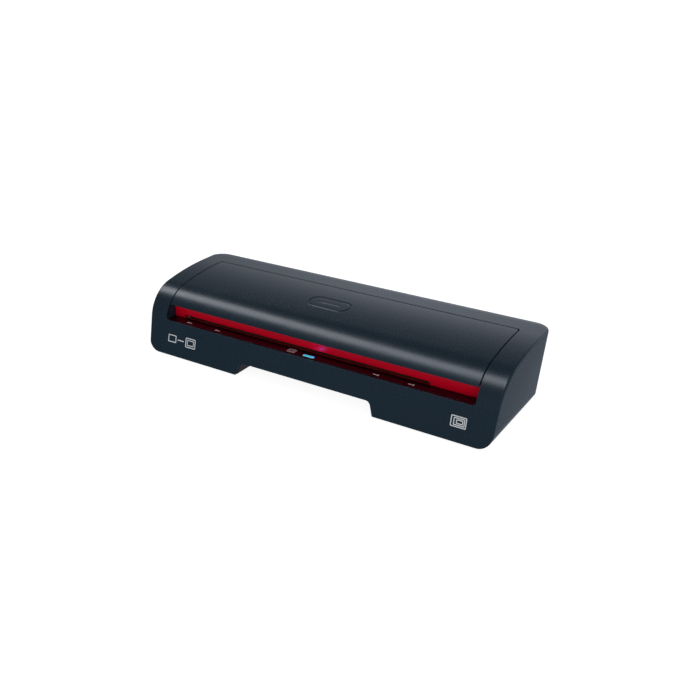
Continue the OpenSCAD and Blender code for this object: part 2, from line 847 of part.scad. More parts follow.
// Outline of a spur gear whose first tooth points along turn
function gear_outline(teeth, turn) = let (
    pitch_r = gear_m * teeth / 2,
    base_r = pitch_r * cos(pressure_angle),
    tip_r = pitch_r + 0.95 * gear_m,
    root_r = pitch_r - 1.25 * gear_m,
    half_pitch = 90 / teeth - backlash / 2 / pitch_r * 90 / PI,
    foot_angle = half_pitch + involute_angle(base_r, pitch_r),
    flank = [for (i = [0 : 3]) base_r + (tip_r - base_r) * i / 3]
) [
    for (t = [0 : teeth - 1]) let (a = turn + 360 * t / teeth) each concat(
        [polar(root_r, a - foot_angle)],
        [for (r = flank) polar(r, a - foot_angle + involute_angle(base_r, r))],
        [for (i = [3 : -1 : 0]) polar(flank[i], a + foot_angle - involute_angle(base_r, flank[i]))],
        [polar(root_r, a + foot_angle)]
    )
];

function polar(r, a) = [r * cos(a), r * sin(a)];

// A spur gear with a round bore, its axis along X
module gear(teeth, turn, y, z, bore_r) {
    color(nylon) difference() {
        translate([0, y, z]) along_x(gear_x, gear_end_x) polygon(gear_outline(teeth, turn));
        rod_x(-far, far, y, z, bore_r);
    }
}

module lower_front_gear() { gear(roller_teeth, front_turn, front_y, low_axle_z, shaft_d / 2); }

module upper_front_gear() { gear(roller_teeth, upper_front_turn, front_y, top_axle_z, shaft_d / 2); }

module lower_rear_gear() { gear(roller_teeth, rear_turn, rear_y, low_axle_z, shaft_d / 2); }

module upper_rear_gear() { gear(roller_teeth, upper_rear_turn, rear_y, top_axle_z, shaft_d / 2); }

module idler_gear() { gear(idler_teeth, idler_turn, idler_y, low_axle_z, stub_r + bearing_gap); }

module drive_pinion() { gear(pinion_teeth, pinion_turn, idler_y, pinion_z, stub_r); }

// Fixed pin of the idler, with a shoulder behind the gear and a head in front of it
module idler_pin() {
    color(steel) union() {
        rod_x(frame_right_out, gear_x - 0.2, idler_y, low_axle_z, stub_r + 1.5);
        rod_x(gear_x - 0.2, gear_end_x + 0.2, idler_y, low_axle_z, stub_r);
        rod_x(gear_end_x + 0.2, gear_end_x + 1.4, idler_y, low_axle_z, stub_r + 1.5);
    }
}

// ---------------------------------------------------------------- motor

standoff_places = [
    [idler_y - standoff_low_y, standoff_low_z], [idler_y + standoff_low_y, standoff_low_z],
    [idler_y - standoff_high_y, standoff_high_z], [idler_y + standoff_high_y, standoff_high_z]
];

module motor_output_shaft() {
    color(steel) rod_x(gear_x - 0.3, motor_x + motor_plate_t, idler_y, pinion_z, stub_r);
}

// Geared motor; notches in its flange clear the heads of the screws in the standoffs
module drive_motor() {
    plate_x = motor_x + motor_plate_t;
    color(steel) difference() {
        union() {
            rod_x(plate_x, plate_x + motor_len, idler_y, motor_z, motor_d / 2);
            rod_x(motor_x, plate_x, idler_y, motor_z, motor_d / 2);
            block([motor_x, idler_y - motor_ear_y - 3.5, motor_z - 4],
                [plate_x, idler_y + motor_ear_y + 3.5, motor_z + 4]);
            rod_x(bracket_x - 0.6, motor_x, idler_y, pinion_z, motor_boss_r);
        }
        rod_x(bracket_x - 1, plate_x + 0.2, idler_y, pinion_z, stub_r + bearing_gap);
        for (side = [-1, 1])
            rod_x(motor_x - 1, plate_x + 1, idler_y + side * motor_ear_y, motor_z, small_screw_r);
        for (p = standoff_places) rod_x(motor_x - 1, plate_x, p.x, p.y, small_head_r + 0.3);
    }
}

module motor_bracket() {
    low_half = motor_ear_y + 4;
    high_half = standoff_high_y + 4;
    color(steel) difference() {
        union() {
            block([bracket_x, idler_y - low_half, foot_h + 4], [motor_x, idler_y + low_half, motor_z + 8]);
            block([bracket_x, idler_y - high_half, motor_z], [motor_x, idler_y + high_half, frame_peak_z]);
        }
        rod_x(bracket_x - 1, motor_x + 1, idler_y, pinion_z, motor_boss_r + 0.2);
        for (p = standoff_places) rod_x(bracket_x - 1, motor_x + 1, p.x, p.y, small_screw_r);
        for (side = [-1, 1])
            rod_x(bracket_x - 1, motor_x + 1, idler_y + side * motor_ear_y, motor_z, small_screw_r);
    }
}

module motor_standoffs() {
    color(steel) for (p = standoff_places) difference() {
        rod_x(frame_right_out, bracket_x, p.x, p.y, standoff_r);
        rod_x(bracket_x - 7, bracket_x + 1, p.x, p.y, small_screw_r);
    }
}

module bracket_screws() {
    color(steel) {
        for (p = standoff_places) small_screw_x(motor_x, p.x, p.y, -1, small_screw_len);
        for (side = [-1, 1])
            small_screw_x(motor_x + motor_plate_t, idler_y + side * motor_ear_y, motor_z, -1, bracket_t + 3);
    }
}

// ---------------------------------------------------------------- heaters

module heater_plate(z) {
    x0 = frame_left_x + frame_t;
    color(aluminium) difference() {
        block([x0, heater_front_y, z], [frame_right_x, heater_back_y, z + heater_t]);
        for (y = heater_screw_ys, x = [x0 - 1, frame_right_x - small_screw_len])
            rod_x(x, x + small_screw_len + 1, y, z + heater_t / 2, small_screw_r);
    }
}

module upper_heater_plate() { heater_plate(upper_heater_z); }

module lower_heater_plate() { heater_plate(lower_heater_z); }

module heater_element(z, x1) {
    color(mica) block([frame_left_x + frame_t + element_margin, heater_mid_y - element_half, z],
        [x1, heater_mid_y + element_half, z + element_t]);
}

module upper_heater_element() { heater_element(upper_heater_z + heater_t, fuse_x - 6); }

module lower_heater_element() { heater_element(lower_heater_z - element_t, frame_right_x - element_margin); }

// Bimetal thermostat on the upper heater plate, with two terminals
module thermostat() {
    z0 = upper_heater_z + heater_t;
    color(black_plastic) rod_z(thermostat_x, heater_mid_y, z0, z0 + 6, thermostat_r);
    color(steel) for (side = [-1, 1])
        block([thermostat_x + side * 4 - 0.4, heater_mid_y - 2, z0 + 6],
            [thermostat_x + side * 4 + 0.4, heater_mid_y + 2, z0 + 8.6]);
}

// One-shot thermal fuse in its saddle
module thermal_fuse() {
    z0 = upper_heater_z + heater_t;
    color(steel) union() {
        block([fuse_x - 2.5, heater_mid_y - 5, z0], [fuse_x + 2.5, heater_mid_y + 5, z0 + 1.2]);
        rod_y(fuse_x, heater_mid_y - 5, heater_mid_y + 5, z0 + 2, 2);
        rod_y(fuse_x, heater_mid_y - 9, heater_mid_y + 9, z0 + 2, 0.5);
    }
}

// ---------------------------------------------------------------- control board

module control_board() {
    x1 = board_x + board_t;
    color(board_green) block([board_x, -board_half_y, board_low_z], [x1, board_half_y, board_high_z]);
    color("#30343a") {
        block([x1, -22, board_low_z + 7], [x1 + 3.2, -8, board_low_z + 15]);
        block([x1, 2, board_low_z + 18], [x1 + 1.6, 12, board_low_z + 28]);
    }
    color("#c8a23a") block([x1, -20, board_low_z + 20], [x1 + 5.5, -7, board_low_z + 31]);
    color(nylon) for (i = [0 : 2])
        block([x1, 14 - 9 * i, board_low_z + 6], [x1 + 5, 21 - 9 * i, board_low_z + 12]);
    color("#22344c") rod_x(x1, x1 + 5.5, 20, board_low_z + 22, 3.5);
}

// ---------------------------------------------------------------- rear panel

module cord_gland() {
    color(black_plastic) difference() {
        union() {
            rod_y(gland_x, gland_inner_y, gland_face_y, gland_z, gland_r);
            rod_y(gland_x, gland_face_y, gland_face_y + gland_flange_t, gland_z, gland_r + 2);
            rod_y(gland_x, gland_inner_y, gland_inner_y + 2, gland_z, gland_r + 1);
        }
        rod_y(gland_x, gland_inner_y - 1, gland_face_y + gland_flange_t + 1, gland_z, gland_bore_r);
    }
}

// A cylinder along X in the switch's own frame, about the rocker's pivot
module about_pivot(w, r) {
    rod_x(-w / 2, w / 2, -rocker_sunk, 0, r);
}

module switch_body() {
    hole = [switch_hole.x - 0.2, switch_hole.y - 0.2];
    color(black_plastic) on_back(switch_x, switch_z) difference() {
        union() {
            block([-hole.x / 2, -switch_deep, -hole.y / 2], [hole.x / 2, 0, hole.y / 2]);
            block([-switch_bezel.x / 2, 0, -switch_bezel.y / 2],
                [switch_bezel.x / 2, switch_bezel.z, switch_bezel.y / 2]);
        }
        about_pivot(rocker_w + 2 * rocker_play, rocker_r + rocker_play);
        about_pivot(rocker_w + 2 * rocker_play + 1.2, trunnion_r + bearing_gap);
    }
}

// Outline of the rocker as [outward, up]: a disc with a shallow V cut across its face
module rocker_outline() {
    rise = rocker_r * tan(rocker_lift);
    intersection() {
        circle(r = rocker_r);
        polygon([[-5, -far], [2.6 + rise, -rocker_r], [2.6, 0], [2.6 + rise, rocker_r], [-5, far]]);
    }
}

module power_rocker() {
    color("#141518") on_back(switch_x, switch_z) union() {
        translate([0, -rocker_sunk, 0]) rotate([rocker_lift, 0, 0])
            along_x(-rocker_w / 2, rocker_w / 2) rocker_outline();
        about_pivot(rocker_w + 1.2, trunnion_r);
    }
}

module exit_guide() {
    color(black_plastic) intersection() {
        difference() {
            block([path_x - exit_half - 3, exit_front_y, exit_low_z - 2],
                [path_x + exit_half + 3, far, exit_high_z + 2]);
            block([path_x - exit_half, -far, exit_low_z], [path_x + exit_half, far, exit_high_z]);
        }
        envelope(wall);
    }
}

// ---------------------------------------------------------------- assembly

upper_case();
top_cover();
base_tray();
feed_bezel();
feed_ledge();
led_lens();
led_board();
foot_front_left();
foot_front_right();
foot_rear_left();
foot_rear_right();
case_screws();
left_frame();
right_frame();
frame_screws();
heat_shield();
cross_screws();
lower_front_roller();
lower_front_shaft();
upper_front_roller();
upper_front_shaft();
lower_rear_roller();
lower_rear_shaft();
upper_rear_roller();
upper_rear_shaft();
lower_bushes();
front_block_left();
front_block_right();
rear_block_left();
rear_block_right();
front_spring_left();
front_spring_right();
rear_spring_left();
rear_spring_right();
spring_caps();
lower_front_gear();
upper_front_gear();
lower_rear_gear();
upper_rear_gear();
idler_gear();
idler_pin();
drive_pinion();
motor_output_shaft();
drive_motor();
motor_bracket();
motor_standoffs();
bracket_screws();
upper_heater_plate();
lower_heater_plate();
upper_heater_element();
lower_heater_element();
thermostat();
thermal_fuse();
control_board();
switch_body();
power_rocker();
cord_gland();
exit_guide();
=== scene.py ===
"""Looks of a desktop pouch laminator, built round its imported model.

The casing, lid, red mouth, ledge, light, feet and rear fittings are surfaces worked out with numpy from the casing's
section; the chassis, rollers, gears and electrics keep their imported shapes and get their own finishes.
Lengths are in millimetres in the classes and turn to metres when a mesh is made.
"""

from __future__ import annotations

import json
import logging
import math
from dataclasses import dataclass, field
from enum import Enum

import bpy
import numpy as np
from mathutils import Euler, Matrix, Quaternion, Vector

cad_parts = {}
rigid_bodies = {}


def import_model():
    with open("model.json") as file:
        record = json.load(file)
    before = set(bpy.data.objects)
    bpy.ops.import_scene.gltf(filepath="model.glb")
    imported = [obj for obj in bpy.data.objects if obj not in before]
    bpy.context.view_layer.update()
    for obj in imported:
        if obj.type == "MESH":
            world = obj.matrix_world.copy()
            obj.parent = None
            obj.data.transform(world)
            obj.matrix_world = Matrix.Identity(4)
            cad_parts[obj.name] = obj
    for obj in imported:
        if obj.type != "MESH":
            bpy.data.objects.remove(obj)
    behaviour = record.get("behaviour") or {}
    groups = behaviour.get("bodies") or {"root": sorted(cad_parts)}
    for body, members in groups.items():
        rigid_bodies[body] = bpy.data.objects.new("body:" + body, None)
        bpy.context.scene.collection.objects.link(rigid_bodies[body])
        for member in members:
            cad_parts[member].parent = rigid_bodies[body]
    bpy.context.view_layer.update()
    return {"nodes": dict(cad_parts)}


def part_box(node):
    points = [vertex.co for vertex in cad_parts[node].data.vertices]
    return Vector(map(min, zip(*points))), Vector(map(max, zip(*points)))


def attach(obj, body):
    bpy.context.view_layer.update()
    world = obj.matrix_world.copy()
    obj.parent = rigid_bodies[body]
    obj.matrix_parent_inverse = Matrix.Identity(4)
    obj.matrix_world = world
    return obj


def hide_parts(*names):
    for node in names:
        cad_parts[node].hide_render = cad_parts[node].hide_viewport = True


LOG = logging.getLogger("laminator")
MM = 0.001
Grid = np.ndarray


# ------------------------------------------------------------------ finishes


def srgb(code: str) -> tuple[float, float, float, float]:
    """Turn an sRGB hex colour into linear light.

    Args:
        code: six hex digits, with or without a leading hash.

    Returns:
        Linear red, green and blue, and an alpha of one.
    """
    parts = np.array([int(code.lstrip("#")[i : i + 2], 16) / 255 for i in (0, 2, 4)])
    linear = np.where(parts <= 0.04045, parts / 12.92, ((parts + 0.055) / 1.055) ** 2.4)
    return (*linear.tolist(), 1.0)


def add_node(tree: bpy.types.NodeTree, kind: str, links: dict | None = None, **settings: object) -> bpy.types.Node:
    """Add a node, set its properties and sockets, and link its inputs.

    Args:
        tree: the node tree that takes the node.
        kind: the node's class name.
        links: input name or number mapped to an output socket.
        settings: property names, or input names with spaces as underscores, and their values.

    Returns:
        The new node.
    """
    node = tree.nodes.new(kind)
    for key, value in settings.items():
        socket = key.replace("_", " ")
        if hasattr(node, key):
            setattr(node, key, value)
        else:
            node.inputs[socket].default_value = value
    for name, output in (links or {}).items():
        tree.links.new(output, node.inputs[name])
    return node


class Grain(Enum):
    """How a surface's fine relief was made."""

    ERODED = "spark-eroded mould texture"
    DRAWN = "lines along the length"
    TURNED = "rings of a ground or turned surface"
    SMOOTH = "polished mould"


@dataclass(frozen=True)
class Finish:
    """A real finish: its colours, gloss and fine relief.

    Attributes:
        name: the finish's common name.
        colour: sRGB hex of the surface.
        shade: sRGB hex that the mottle drifts towards.
        roughness: middle roughness.
        spread: how far roughness drifts each way.
        metallic: 1 for bare metal.
        grain: how the relief was made.
        grain_mm: size of the relief.
        relief_mm: depth of the relief.
        mottle_mm: size of the slow drift in colour and gloss.
        coat: weight of a clear top layer.
        glow: sRGB hex of its own light, or None.
        glow_power: strength of that light.
        level: specular level of a dielectric.
    """

    name: str
    colour: str
    shade: str
    roughness: float = 0.5
    spread: float = 0.05
    metallic: float = 0.0
    grain: Grain = Grain.ERODED
    grain_mm: float = 0.6
    relief_mm: float = 0.02
    mottle_mm: float = 35.0
    coat: float = 0.0
    glow: str | None = None
    glow_power: float = 0.0
    level: float = 0.5

    def stretch(self) -> tuple[float, float, float]:
        """Scale of the relief pattern on each axis, in turns per metre."""
        turns = 1 / (self.grain_mm * MM)
        along = {Grain.DRAWN: 0.03, Grain.TURNED: 1.0}.get(self.grain, 1.0)
        across = 0.03 if self.grain is Grain.TURNED else 1.0
        return (turns * along, turns * across, turns * across)

    def build(self) -> bpy.types.Material:
        """Make the material.

        Returns:
            A material whose patterns read Object coordinates.
        """
        material = bpy.data.materials.new(self.name)
        material.use_nodes = True
        tree = material.node_tree
        tree.nodes.clear()
        place = add_node(tree, "ShaderNodeTexCoord").outputs["Object"]
        slow = add_node(
            tree, "ShaderNodeTexNoise", {"Vector": place}, Scale=1 / (self.mottle_mm * MM), Detail=3.0, Roughness=0.6
        )
        mixed = add_node(tree, "ShaderNodeMix", {0: slow.outputs["Fac"]}, data_type="RGBA")
        mixed.inputs[6].default_value = srgb(self.colour)
        mixed.inputs[7].default_value = srgb(self.shade)
        sized = add_node(tree, "ShaderNodeMapping", {"Vector": place})
        sized.inputs["Scale"].default_value = self.stretch()
        fine = add_node(tree, "ShaderNodeTexNoise", {"Vector": sized.outputs["Vector"]}, Scale=1.0, Detail=2.0)
        both = add_node(tree, "ShaderNodeMath", {0: slow.outputs["Fac"], 1: fine.outputs["Fac"]}, operation="ADD")
        gloss = add_node(tree, "ShaderNodeMapRange", {"Value": both.outputs["Value"]})
        for key, value in zip((1, 2, 3, 4), (0.6, 1.4, self.roughness - self.spread, self.roughness + self.spread)):
            gloss.inputs[key].default_value = value
        bump = add_node(tree, "ShaderNodeBump", {"Height": fine.outputs["Fac"]})
        bump.inputs["Distance"].default_value = self.relief_mm * MM
        bump.inputs["Strength"].default_value = 1.0 if self.grain is not Grain.SMOOTH else 0.2
        shader = add_node(
            tree,
            "ShaderNodeBsdfPrincipled",
            {"Base Color": mixed.outputs[2], "Roughness": gloss.outputs["Result"], "Normal": bump.outputs["Normal"]},
        )
        shader.inputs["Metallic"].default_value = self.metallic
        shader.inputs["Coat Weight"].default_value = self.coat
        shader.inputs["Coat Roughness"].default_value = 0.06
        if self.metallic == 0:
            shader.inputs["Specular IOR Level"].default_value = self.level
        if self.glow:
            shader.inputs["Emission Color"].default_value = srgb(self.glow)
            shader.inputs["Emission Strength"].default_value = self.glow_power
        out = add_node(tree, "ShaderNodeOutputMaterial", {"Surface": shader.outputs["BSDF"]})
        out.is_active_output = True
        material.diffuse_color = srgb(self.colour)
        return material


# Injection-moulded ABS with a fine spark-eroded texture: dark blue-grey, soft broad highlights
SHELL = Finish("ABS_spark_eroded_blue_grey", "#182833", "#1a2b37", 0.27, 0.03, grain_mm=0.7, relief_mm=0.01, level=0.25)
# High-gloss ABS from a polished mould: saturated red with sharp reflections
MOUTH_RED = Finish("ABS_polished_red", "#d60024", "#ce0022", 0.3, 0.03, grain=Grain.SMOOTH, grain_mm=3.0, level=0.12)
# The red mouth plastic with painted shade and painted reflection: the ledge under the lip's overhang, darkened to
# almost black wine, with a mirror-like top
LEDGE_RED_PAINTED_SHADE = Finish("red_plastic_painted_shade_ledge", "#24040f", "#1e030c", 0.16, 0.02, grain=Grain.SMOOTH, grain_mm=4.0, level=0.16)
# Tinted polycarbonate light pipe, lit from below
LIGHT_PIPE = Finish(
    "polycarbonate_light_pipe", "#49b4cb", "#58c2d4", 0.18, 0.02, grain=Grain.SMOOTH, grain_mm=2.0, mottle_mm=4,
    glow="#38bcd2", glow_power=0.55,
)
# Matt moulded ABS of hidden and underside parts: black with a coarser grain
TRAY_BLACK = Finish("ABS_matt_black", "#15171a", "#1b1d20", 0.55, 0.06, grain_mm=0.9, relief_mm=0.03)
# Nylon of the rocker and the gland: black with a light sheen
NYLON_BLACK = Finish("nylon_black", "#101114", "#17181b", 0.38, 0.05, grain_mm=0.8, relief_mm=0.01)
# Natural rubber foot: matt charcoal that catches dust
FOOT_RUBBER = Finish("natural_rubber", "#1f2022", "#2a2a2b", 0.85, 0.08, grain_mm=0.9, relief_mm=0.05)
# Ground silicone rubber of the heated rollers: dull brick with fine grinding rings
SILICONE = Finish("silicone_rubber_ground", "#7c3426", "#6f2d22", 0.68, 0.06, grain=Grain.TURNED, grain_mm=0.8,
                  relief_mm=0.02)
# Zinc-coated sheet steel: grey with cloudy gloss and faint rolling lines
ZINC_SHEET = Finish("steel_sheet_zinc_coated", "#b4b8bc", "#a3a8ae", 0.38, 0.1, 1.0, Grain.DRAWN, 0.8, 0.01, 12)
# Centreless-ground bar: bright, with rings across its length
GROUND_BAR = Finish("steel_bar_ground", "#c4c7ca", "#b8bbbf", 0.24, 0.06, 1.0, Grain.TURNED, 0.5, 0.006, 20)
# Hard-drawn spring wire: darker steel with draw lines
SPRING_WIRE = Finish("spring_steel_drawn", "#8f9499", "#7f858b", 0.3, 0.08, 1.0, Grain.DRAWN, 0.4, 0.008, 6)
# Zinc-plated screws: slightly yellow bright metal
SCREW_ZINC = Finish("steel_screw_zinc_plated", "#c2c0b6", "#aeb0ae", 0.3, 0.08, 1.0, Grain.TURNED, 0.4, 0.01, 5)
# Natural acetal gears, bushes and blocks: waxy off-white
ACETAL = Finish("acetal_natural", "#e4dfd0", "#dcd6c5", 0.42, 0.05, grain_mm=0.8, relief_mm=0.01)
# Extruded aluminium heater plate, mill finish: pale metal with die lines along its length
MILL_ALUMINIUM = Finish("aluminium_mill_finish", "#cfd1d3", "#c0c3c6", 0.34, 0.08, 1.0, Grain.DRAWN, 0.7, 0.01, 30)
# Mica paper of the heater element: flaky gold-brown
MICA = Finish("mica_paper", "#b98d4d", "#a3773b", 0.45, 0.12, grain_mm=2.5, relief_mm=0.05, mottle_mm=6)
# Solder resist over glass-epoxy board: glossy green with a faint weave
SOLDER_RESIST = Finish("solder_resist_green", "#17562f", "#124a28", 0.3, 0.05, grain_mm=0.9, relief_mm=0.01, coat=0.3)
# Pad-printing ink: thin, slightly grey white
PRINT_WHITE = Finish("pad_print_ink_white", "#d9dde0", "#c9ced2", 0.5, 0.05, grain_mm=0.5, relief_mm=0.005)
# Pad-printing ink on the ledge: white tinged by the gloss of the ledge below, whose dark wine red is painted shade
PRINT_ROSE = Finish("pad_print_ink_rose", "#f4e2e4", "#ead4d8", 0.45, 0.05, grain_mm=0.5, relief_mm=0.005)
# Matt seamless paper floor
PAPER = Finish("studio_paper", "#8e8e8e", "#8c8c8c", 0.9, 0.03, grain_mm=8.0, relief_mm=0.01, mottle_mm=600,
               glow="#ffffff", glow_power=0.92, level=0.1)


@dataclass
class Wardrobe:
    """Builds each finish once and hands it out."""

    made: dict[str, bpy.types.Material] = field(default_factory=dict)

    def give(self, finish: Finish) -> bpy.types.Material:
        """Return the finish's material, made on first use."""
        if finish.name not in self.made:
            self.made[finish.name] = finish.build()
        return self.made[finish.name]


WARDROBE = Wardrobe()


# ------------------------------------------------------------------ mesh tools


def spread(knots: list[float], step: float) -> Grid:
    """Fill the gaps between knots evenly, no wider than a step.

    Args:
        knots: places that the result must hold, in any order.
        step: widest spacing.

    Returns:
        The sorted places, knots included.
    """
    places = np.unique(np.round(np.array(knots, float), 6))
    pieces = [
        np.linspace(a, b, max(1, math.ceil((b - a) / step - 1e-9)), endpoint=False)
        for a, b in zip(places[:-1], places[1:])
    ]
    return np.concatenate([*pieces, places[-1:]])


def around(centre: float, reach: float, steps: int) -> list[float]:
    """Knots on both sides of a place, out to reach, for a corner that is to be rounded."""
    return (centre + reach * np.linspace(-1, 1, 2 * steps + 1)).tolist()


def smooth(x: Grid, low: float, high: float) -> Grid:
    """Ease from 0 at low to 1 at high: three times the square less twice the cube of the share of the way."""
    t = np.clip((x - low) / (high - low), 0, 1)
    return t * t * (3 - 2 * t)


def round_corner(
    x: Grid, s: Grid, corner: tuple[float, float], inward: tuple[int, int], radius: float
) -> tuple[Grid, Grid]:
    """Bend a square grid so that the lines that meet in a corner run round an arc.

    Points in the quadrant beyond the arc's centre move along their ray: each square ring, of half size m, goes to the
    circle of radius m as far as the corner itself, and the change fades out at twice the radius.

    Args:
        x, s: the two grid coordinates.
        corner: the corner's place.
        inward: signs of the way from the corner to the arc's centre.
        radius: the arc's radius.

    Returns:
        The bent coordinates.
    """
    cx, cs = corner[0] + inward[0] * radius, corner[1] + inward[1] * radius
    a, b = -(x - cx) * inward[0], -(s - cs) * inward[1]
    inside = (a > 0) & (b > 0)
    m = np.maximum(a, b)
    ray = np.hypot(a, b)
    share = 1 - smooth(m, radius, 2 * radius)
    factor = np.where(inside, 1 + (m / np.maximum(ray, 1e-9) - 1) * share, 1.0)
    return np.where(inside, cx - inward[0] * a * factor, x), np.where(inside, cs - inward[1] * b * factor, s)


def quads(keep: Grid, wrap: bool) -> tuple[Grid, Grid, Grid]:
    """Index the kept cells of a grid and the edges at which they stop.

    Args:
        keep: which cells stay, one fewer than the points each way, or as many as the columns when wrapped.
        wrap: True if the last column joins the first.

    Returns:
        Corner indices of the kept cells, and the border edges with kept cells on their left, as row and column pairs.
    """
    rows, cols = keep.shape
    points = cols if wrap else cols + 1
    i, j = np.nonzero(keep)
    k = (j + 1) % points
    cells = np.stack([i * points + j, (i + 1) * points + j, (i + 1) * points + k, i * points + k], 1)
    ends = np.zeros((1, cols), bool)
    above, below = np.vstack([ends, keep]), np.vstack([keep, ends])
    low_i, low_j = np.nonzero(below & ~above)
    high_i, high_j = np.nonzero(above & ~below)
    before = np.roll(keep, 1, 1) if wrap else np.hstack([np.zeros((rows, 1), bool), keep])
    after = keep if wrap else np.hstack([keep, np.zeros((rows, 1), bool)])
    left_i, left_j = np.nonzero(after & ~before)
    right_i, right_j = np.nonzero(before & ~after)
    edges = np.concatenate([
        np.stack([low_i * points + (low_j + 1) % points, low_i * points + low_j], 1),
        np.stack([high_i * points + high_j, high_i * points + (high_j + 1) % points], 1),
        np.stack([left_i * points + left_j, (left_i + 1) * points + left_j], 1),
        np.stack([(right_i + 1) * points + right_j, right_i * points + right_j], 1),
    ])
    return cells, edges


@dataclass
class Shape:
    """Points and faces of one closed surface, in millimetres.

    Attributes:
        points: one row of x, y and z for each point.
        faces: lists of point numbers.
        worn: pairs of points whose edges get a moulded radius.
    """

    points: Grid
    faces: list[list[int]]
    worn: Grid = field(default_factory=lambda: np.zeros((0, 2), int))

    @staticmethod
    def wall(outer: Grid, inner: Grid, keep: Grid | None = None, wrap: bool = False, caps: bool = False) -> Shape:
        """Make a wall between two grids with the same layout, closed along every edge of the kept cells.

        Args:
            outer, inner: points by station and by step along the section.
            keep: which cells stay, or None for all.
            wrap: True if the section is a loop.
            caps: True to close the first and last stations with one face each, on both skins.

        Returns:
            The closed wall, with its outer border edges marked as worn.
        """
        n, m = outer.shape[:2]
        keep = np.ones((n - 1, m if wrap else m - 1), bool) if keep is None else keep
        cells, edges = quads(keep, wrap)
        if caps:
            tips = (edges < m).all(1) | (edges >= (n - 1) * m).all(1)
            edges = edges[~tips]
        shift = n * m
        rims = np.stack([edges[:, 1], edges[:, 0], edges[:, 0] + shift, edges[:, 1] + shift], 1)
        faces = [*cells.tolist(), *(cells[:, ::-1] + shift).tolist(), *rims.tolist()]
        if caps:
            first, last = list(range(m)), list(range((n - 1) * m, n * m))
            faces += [first, last[::-1], [shift + p for p in first[::-1]], [shift + p for p in last]]
        points = np.concatenate([outer.reshape(-1, 3), inner.reshape(-1, 3)])
        return Shape(points, faces, edges)

    @staticmethod
    def stack(outlines: list[Grid], closed: bool = False) -> Shape:
        """Join outlines of equal length into a skin, each to the next.

        Args:
            outlines: one array of points for each level, anticlockwise seen from the last level.
            closed: True joins the last level to the first; otherwise both ends get a face.

        Returns:
            The closed skin.
        """
        levels, m = len(outlines), len(outlines[0])
        j = np.arange(m)
        k = (j + 1) % m
        faces = []
        for i in range(levels if closed else levels - 1):
            a, b = i * m, ((i + 1) % levels) * m
            faces += np.stack([a + j, a + k, b + k, b + j], 1).tolist()
        if not closed:
            faces += [j[::-1].tolist(), (j + (levels - 1) * m).tolist()]
        return Shape(np.concatenate(outlines), faces)

    def moved(self, by: tuple[float, float, float], lean: float = 0.0) -> Shape:
        """Turn about the X axis by lean degrees, then move."""
        turn = np.array(Euler((math.radians(lean), 0, 0)).to_matrix())
        return Shape(self.points @ turn.T + np.array(by), self.faces, self.worn)

    def mirrored(self) -> Shape:
        """The same shape on the other side of the middle plane, with its faces turned to point outwards."""
        return Shape(self.points * np.array([-1, 1, 1]), [f[::-1] for f in self.faces], self.worn)

    def joined(self, *others: Shape) -> Shape:
        """This shape and others as one, still separate solids."""
        points, faces, worn, start = [], [], [], 0
        for shape in (self, *others):
            points.append(shape.points)
            faces += [[p + start for p in f] for f in shape.faces]
            worn.append(shape.worn + start)
            start += len(shape.points)
        return Shape(np.concatenate(points), faces, np.concatenate(worn))

    def piece(self, name: str, finish: Finish, radius: float = 0.0, crease: float = 40.0) -> bpy.types.Object:
        """Make the Blender object.

        Args:
            name: the piece's name.
            finish: what it is made of.
            radius: moulded radius along the worn edges.
            crease: edges that turn by more degrees than this are shaded sharp.

        Returns:
            The object, at the origin, with its place in its mesh.
        """
        used = np.unique(np.concatenate([np.array(f) for f in self.faces]))
        number = np.full(len(self.points), -1)
        number[used] = np.arange(len(used))
        mesh = bpy.data.meshes.new(name)
        mesh.from_pydata((self.points[used] * MM).tolist(), [], [number[f].tolist() for f in self.faces])
        mesh.validate()
        mesh.shade_smooth()
        mesh.set_sharp_from_angle(angle=math.radians(crease))
        made = bpy.data.objects.new(name, mesh)
        bpy.context.scene.collection.objects.link(made)
        made.data.materials.append(WARDROBE.give(finish))
        if radius and len(self.worn):
            ends = np.empty(len(mesh.edges) * 2, int)
            mesh.edges.foreach_get("vertices", ends)
            code = np.sort(ends.reshape(-1, 2), 1) @ np.array([len(used), 1])
            wanted = np.sort(number[self.worn], 1) @ np.array([len(used), 1])
            weight = mesh.attributes.new("bevel_weight_edge", "FLOAT", "EDGE")
            weight.data.foreach_set("value", np.isin(code, wanted).astype(np.float32))
            bevel = made.modifiers.new("moulded radius", "BEVEL")
            bevel.limit_method = "WEIGHT"
            bevel.width = radius * MM
            bevel.segments = 2
            bevel.harden_normals = True
        return made


def rounded_rectangle(width: float, height: float, radius: float, steps: int = 8) -> Grid:
    """Outline of a rectangle with round corners, as x and y: a quarter circle about each corner's own centre."""
    radius = min(radius, width / 2, height / 2)
    turn = np.radians(np.linspace(0, 90, steps))
    corners = []
    for quarter, (sx, sy) in enumerate(((1, 1), (-1, 1), (-1, -1), (1, -1))):
        angle = turn + math.pi / 2 * quarter
        centre = np.array([sx * (width / 2 - radius), sy * (height / 2 - radius)])
        corners.append(centre + radius * np.stack([np.cos(angle), np.sin(angle)], 1))
    return np.concatenate(corners)


def at_height(outline: Grid, height: float) -> Grid:
    """Give a flat outline a height."""
    return np.column_stack([outline, np.full(len(outline), height)])


def pad(width: float, height: float, radius: float, low: float, high: float, edge: float = 0.3) -> Shape:
    """A plate with round corners and a rounded top edge: the outline shrinks by a quarter circle near the top."""
    turn = np.radians(np.linspace(0, 90, 5))
    levels = [at_height(rounded_rectangle(width, height, radius), low)]
    for inset, drop in zip(edge * (1 - np.cos(turn)), edge * (1 - np.sin(turn))):
        levels.append(at_height(
            rounded_rectangle(width - 2 * inset, height - 2 * inset, max(radius - inset, 0.05)), high - drop))
    return Shape.stack(levels)


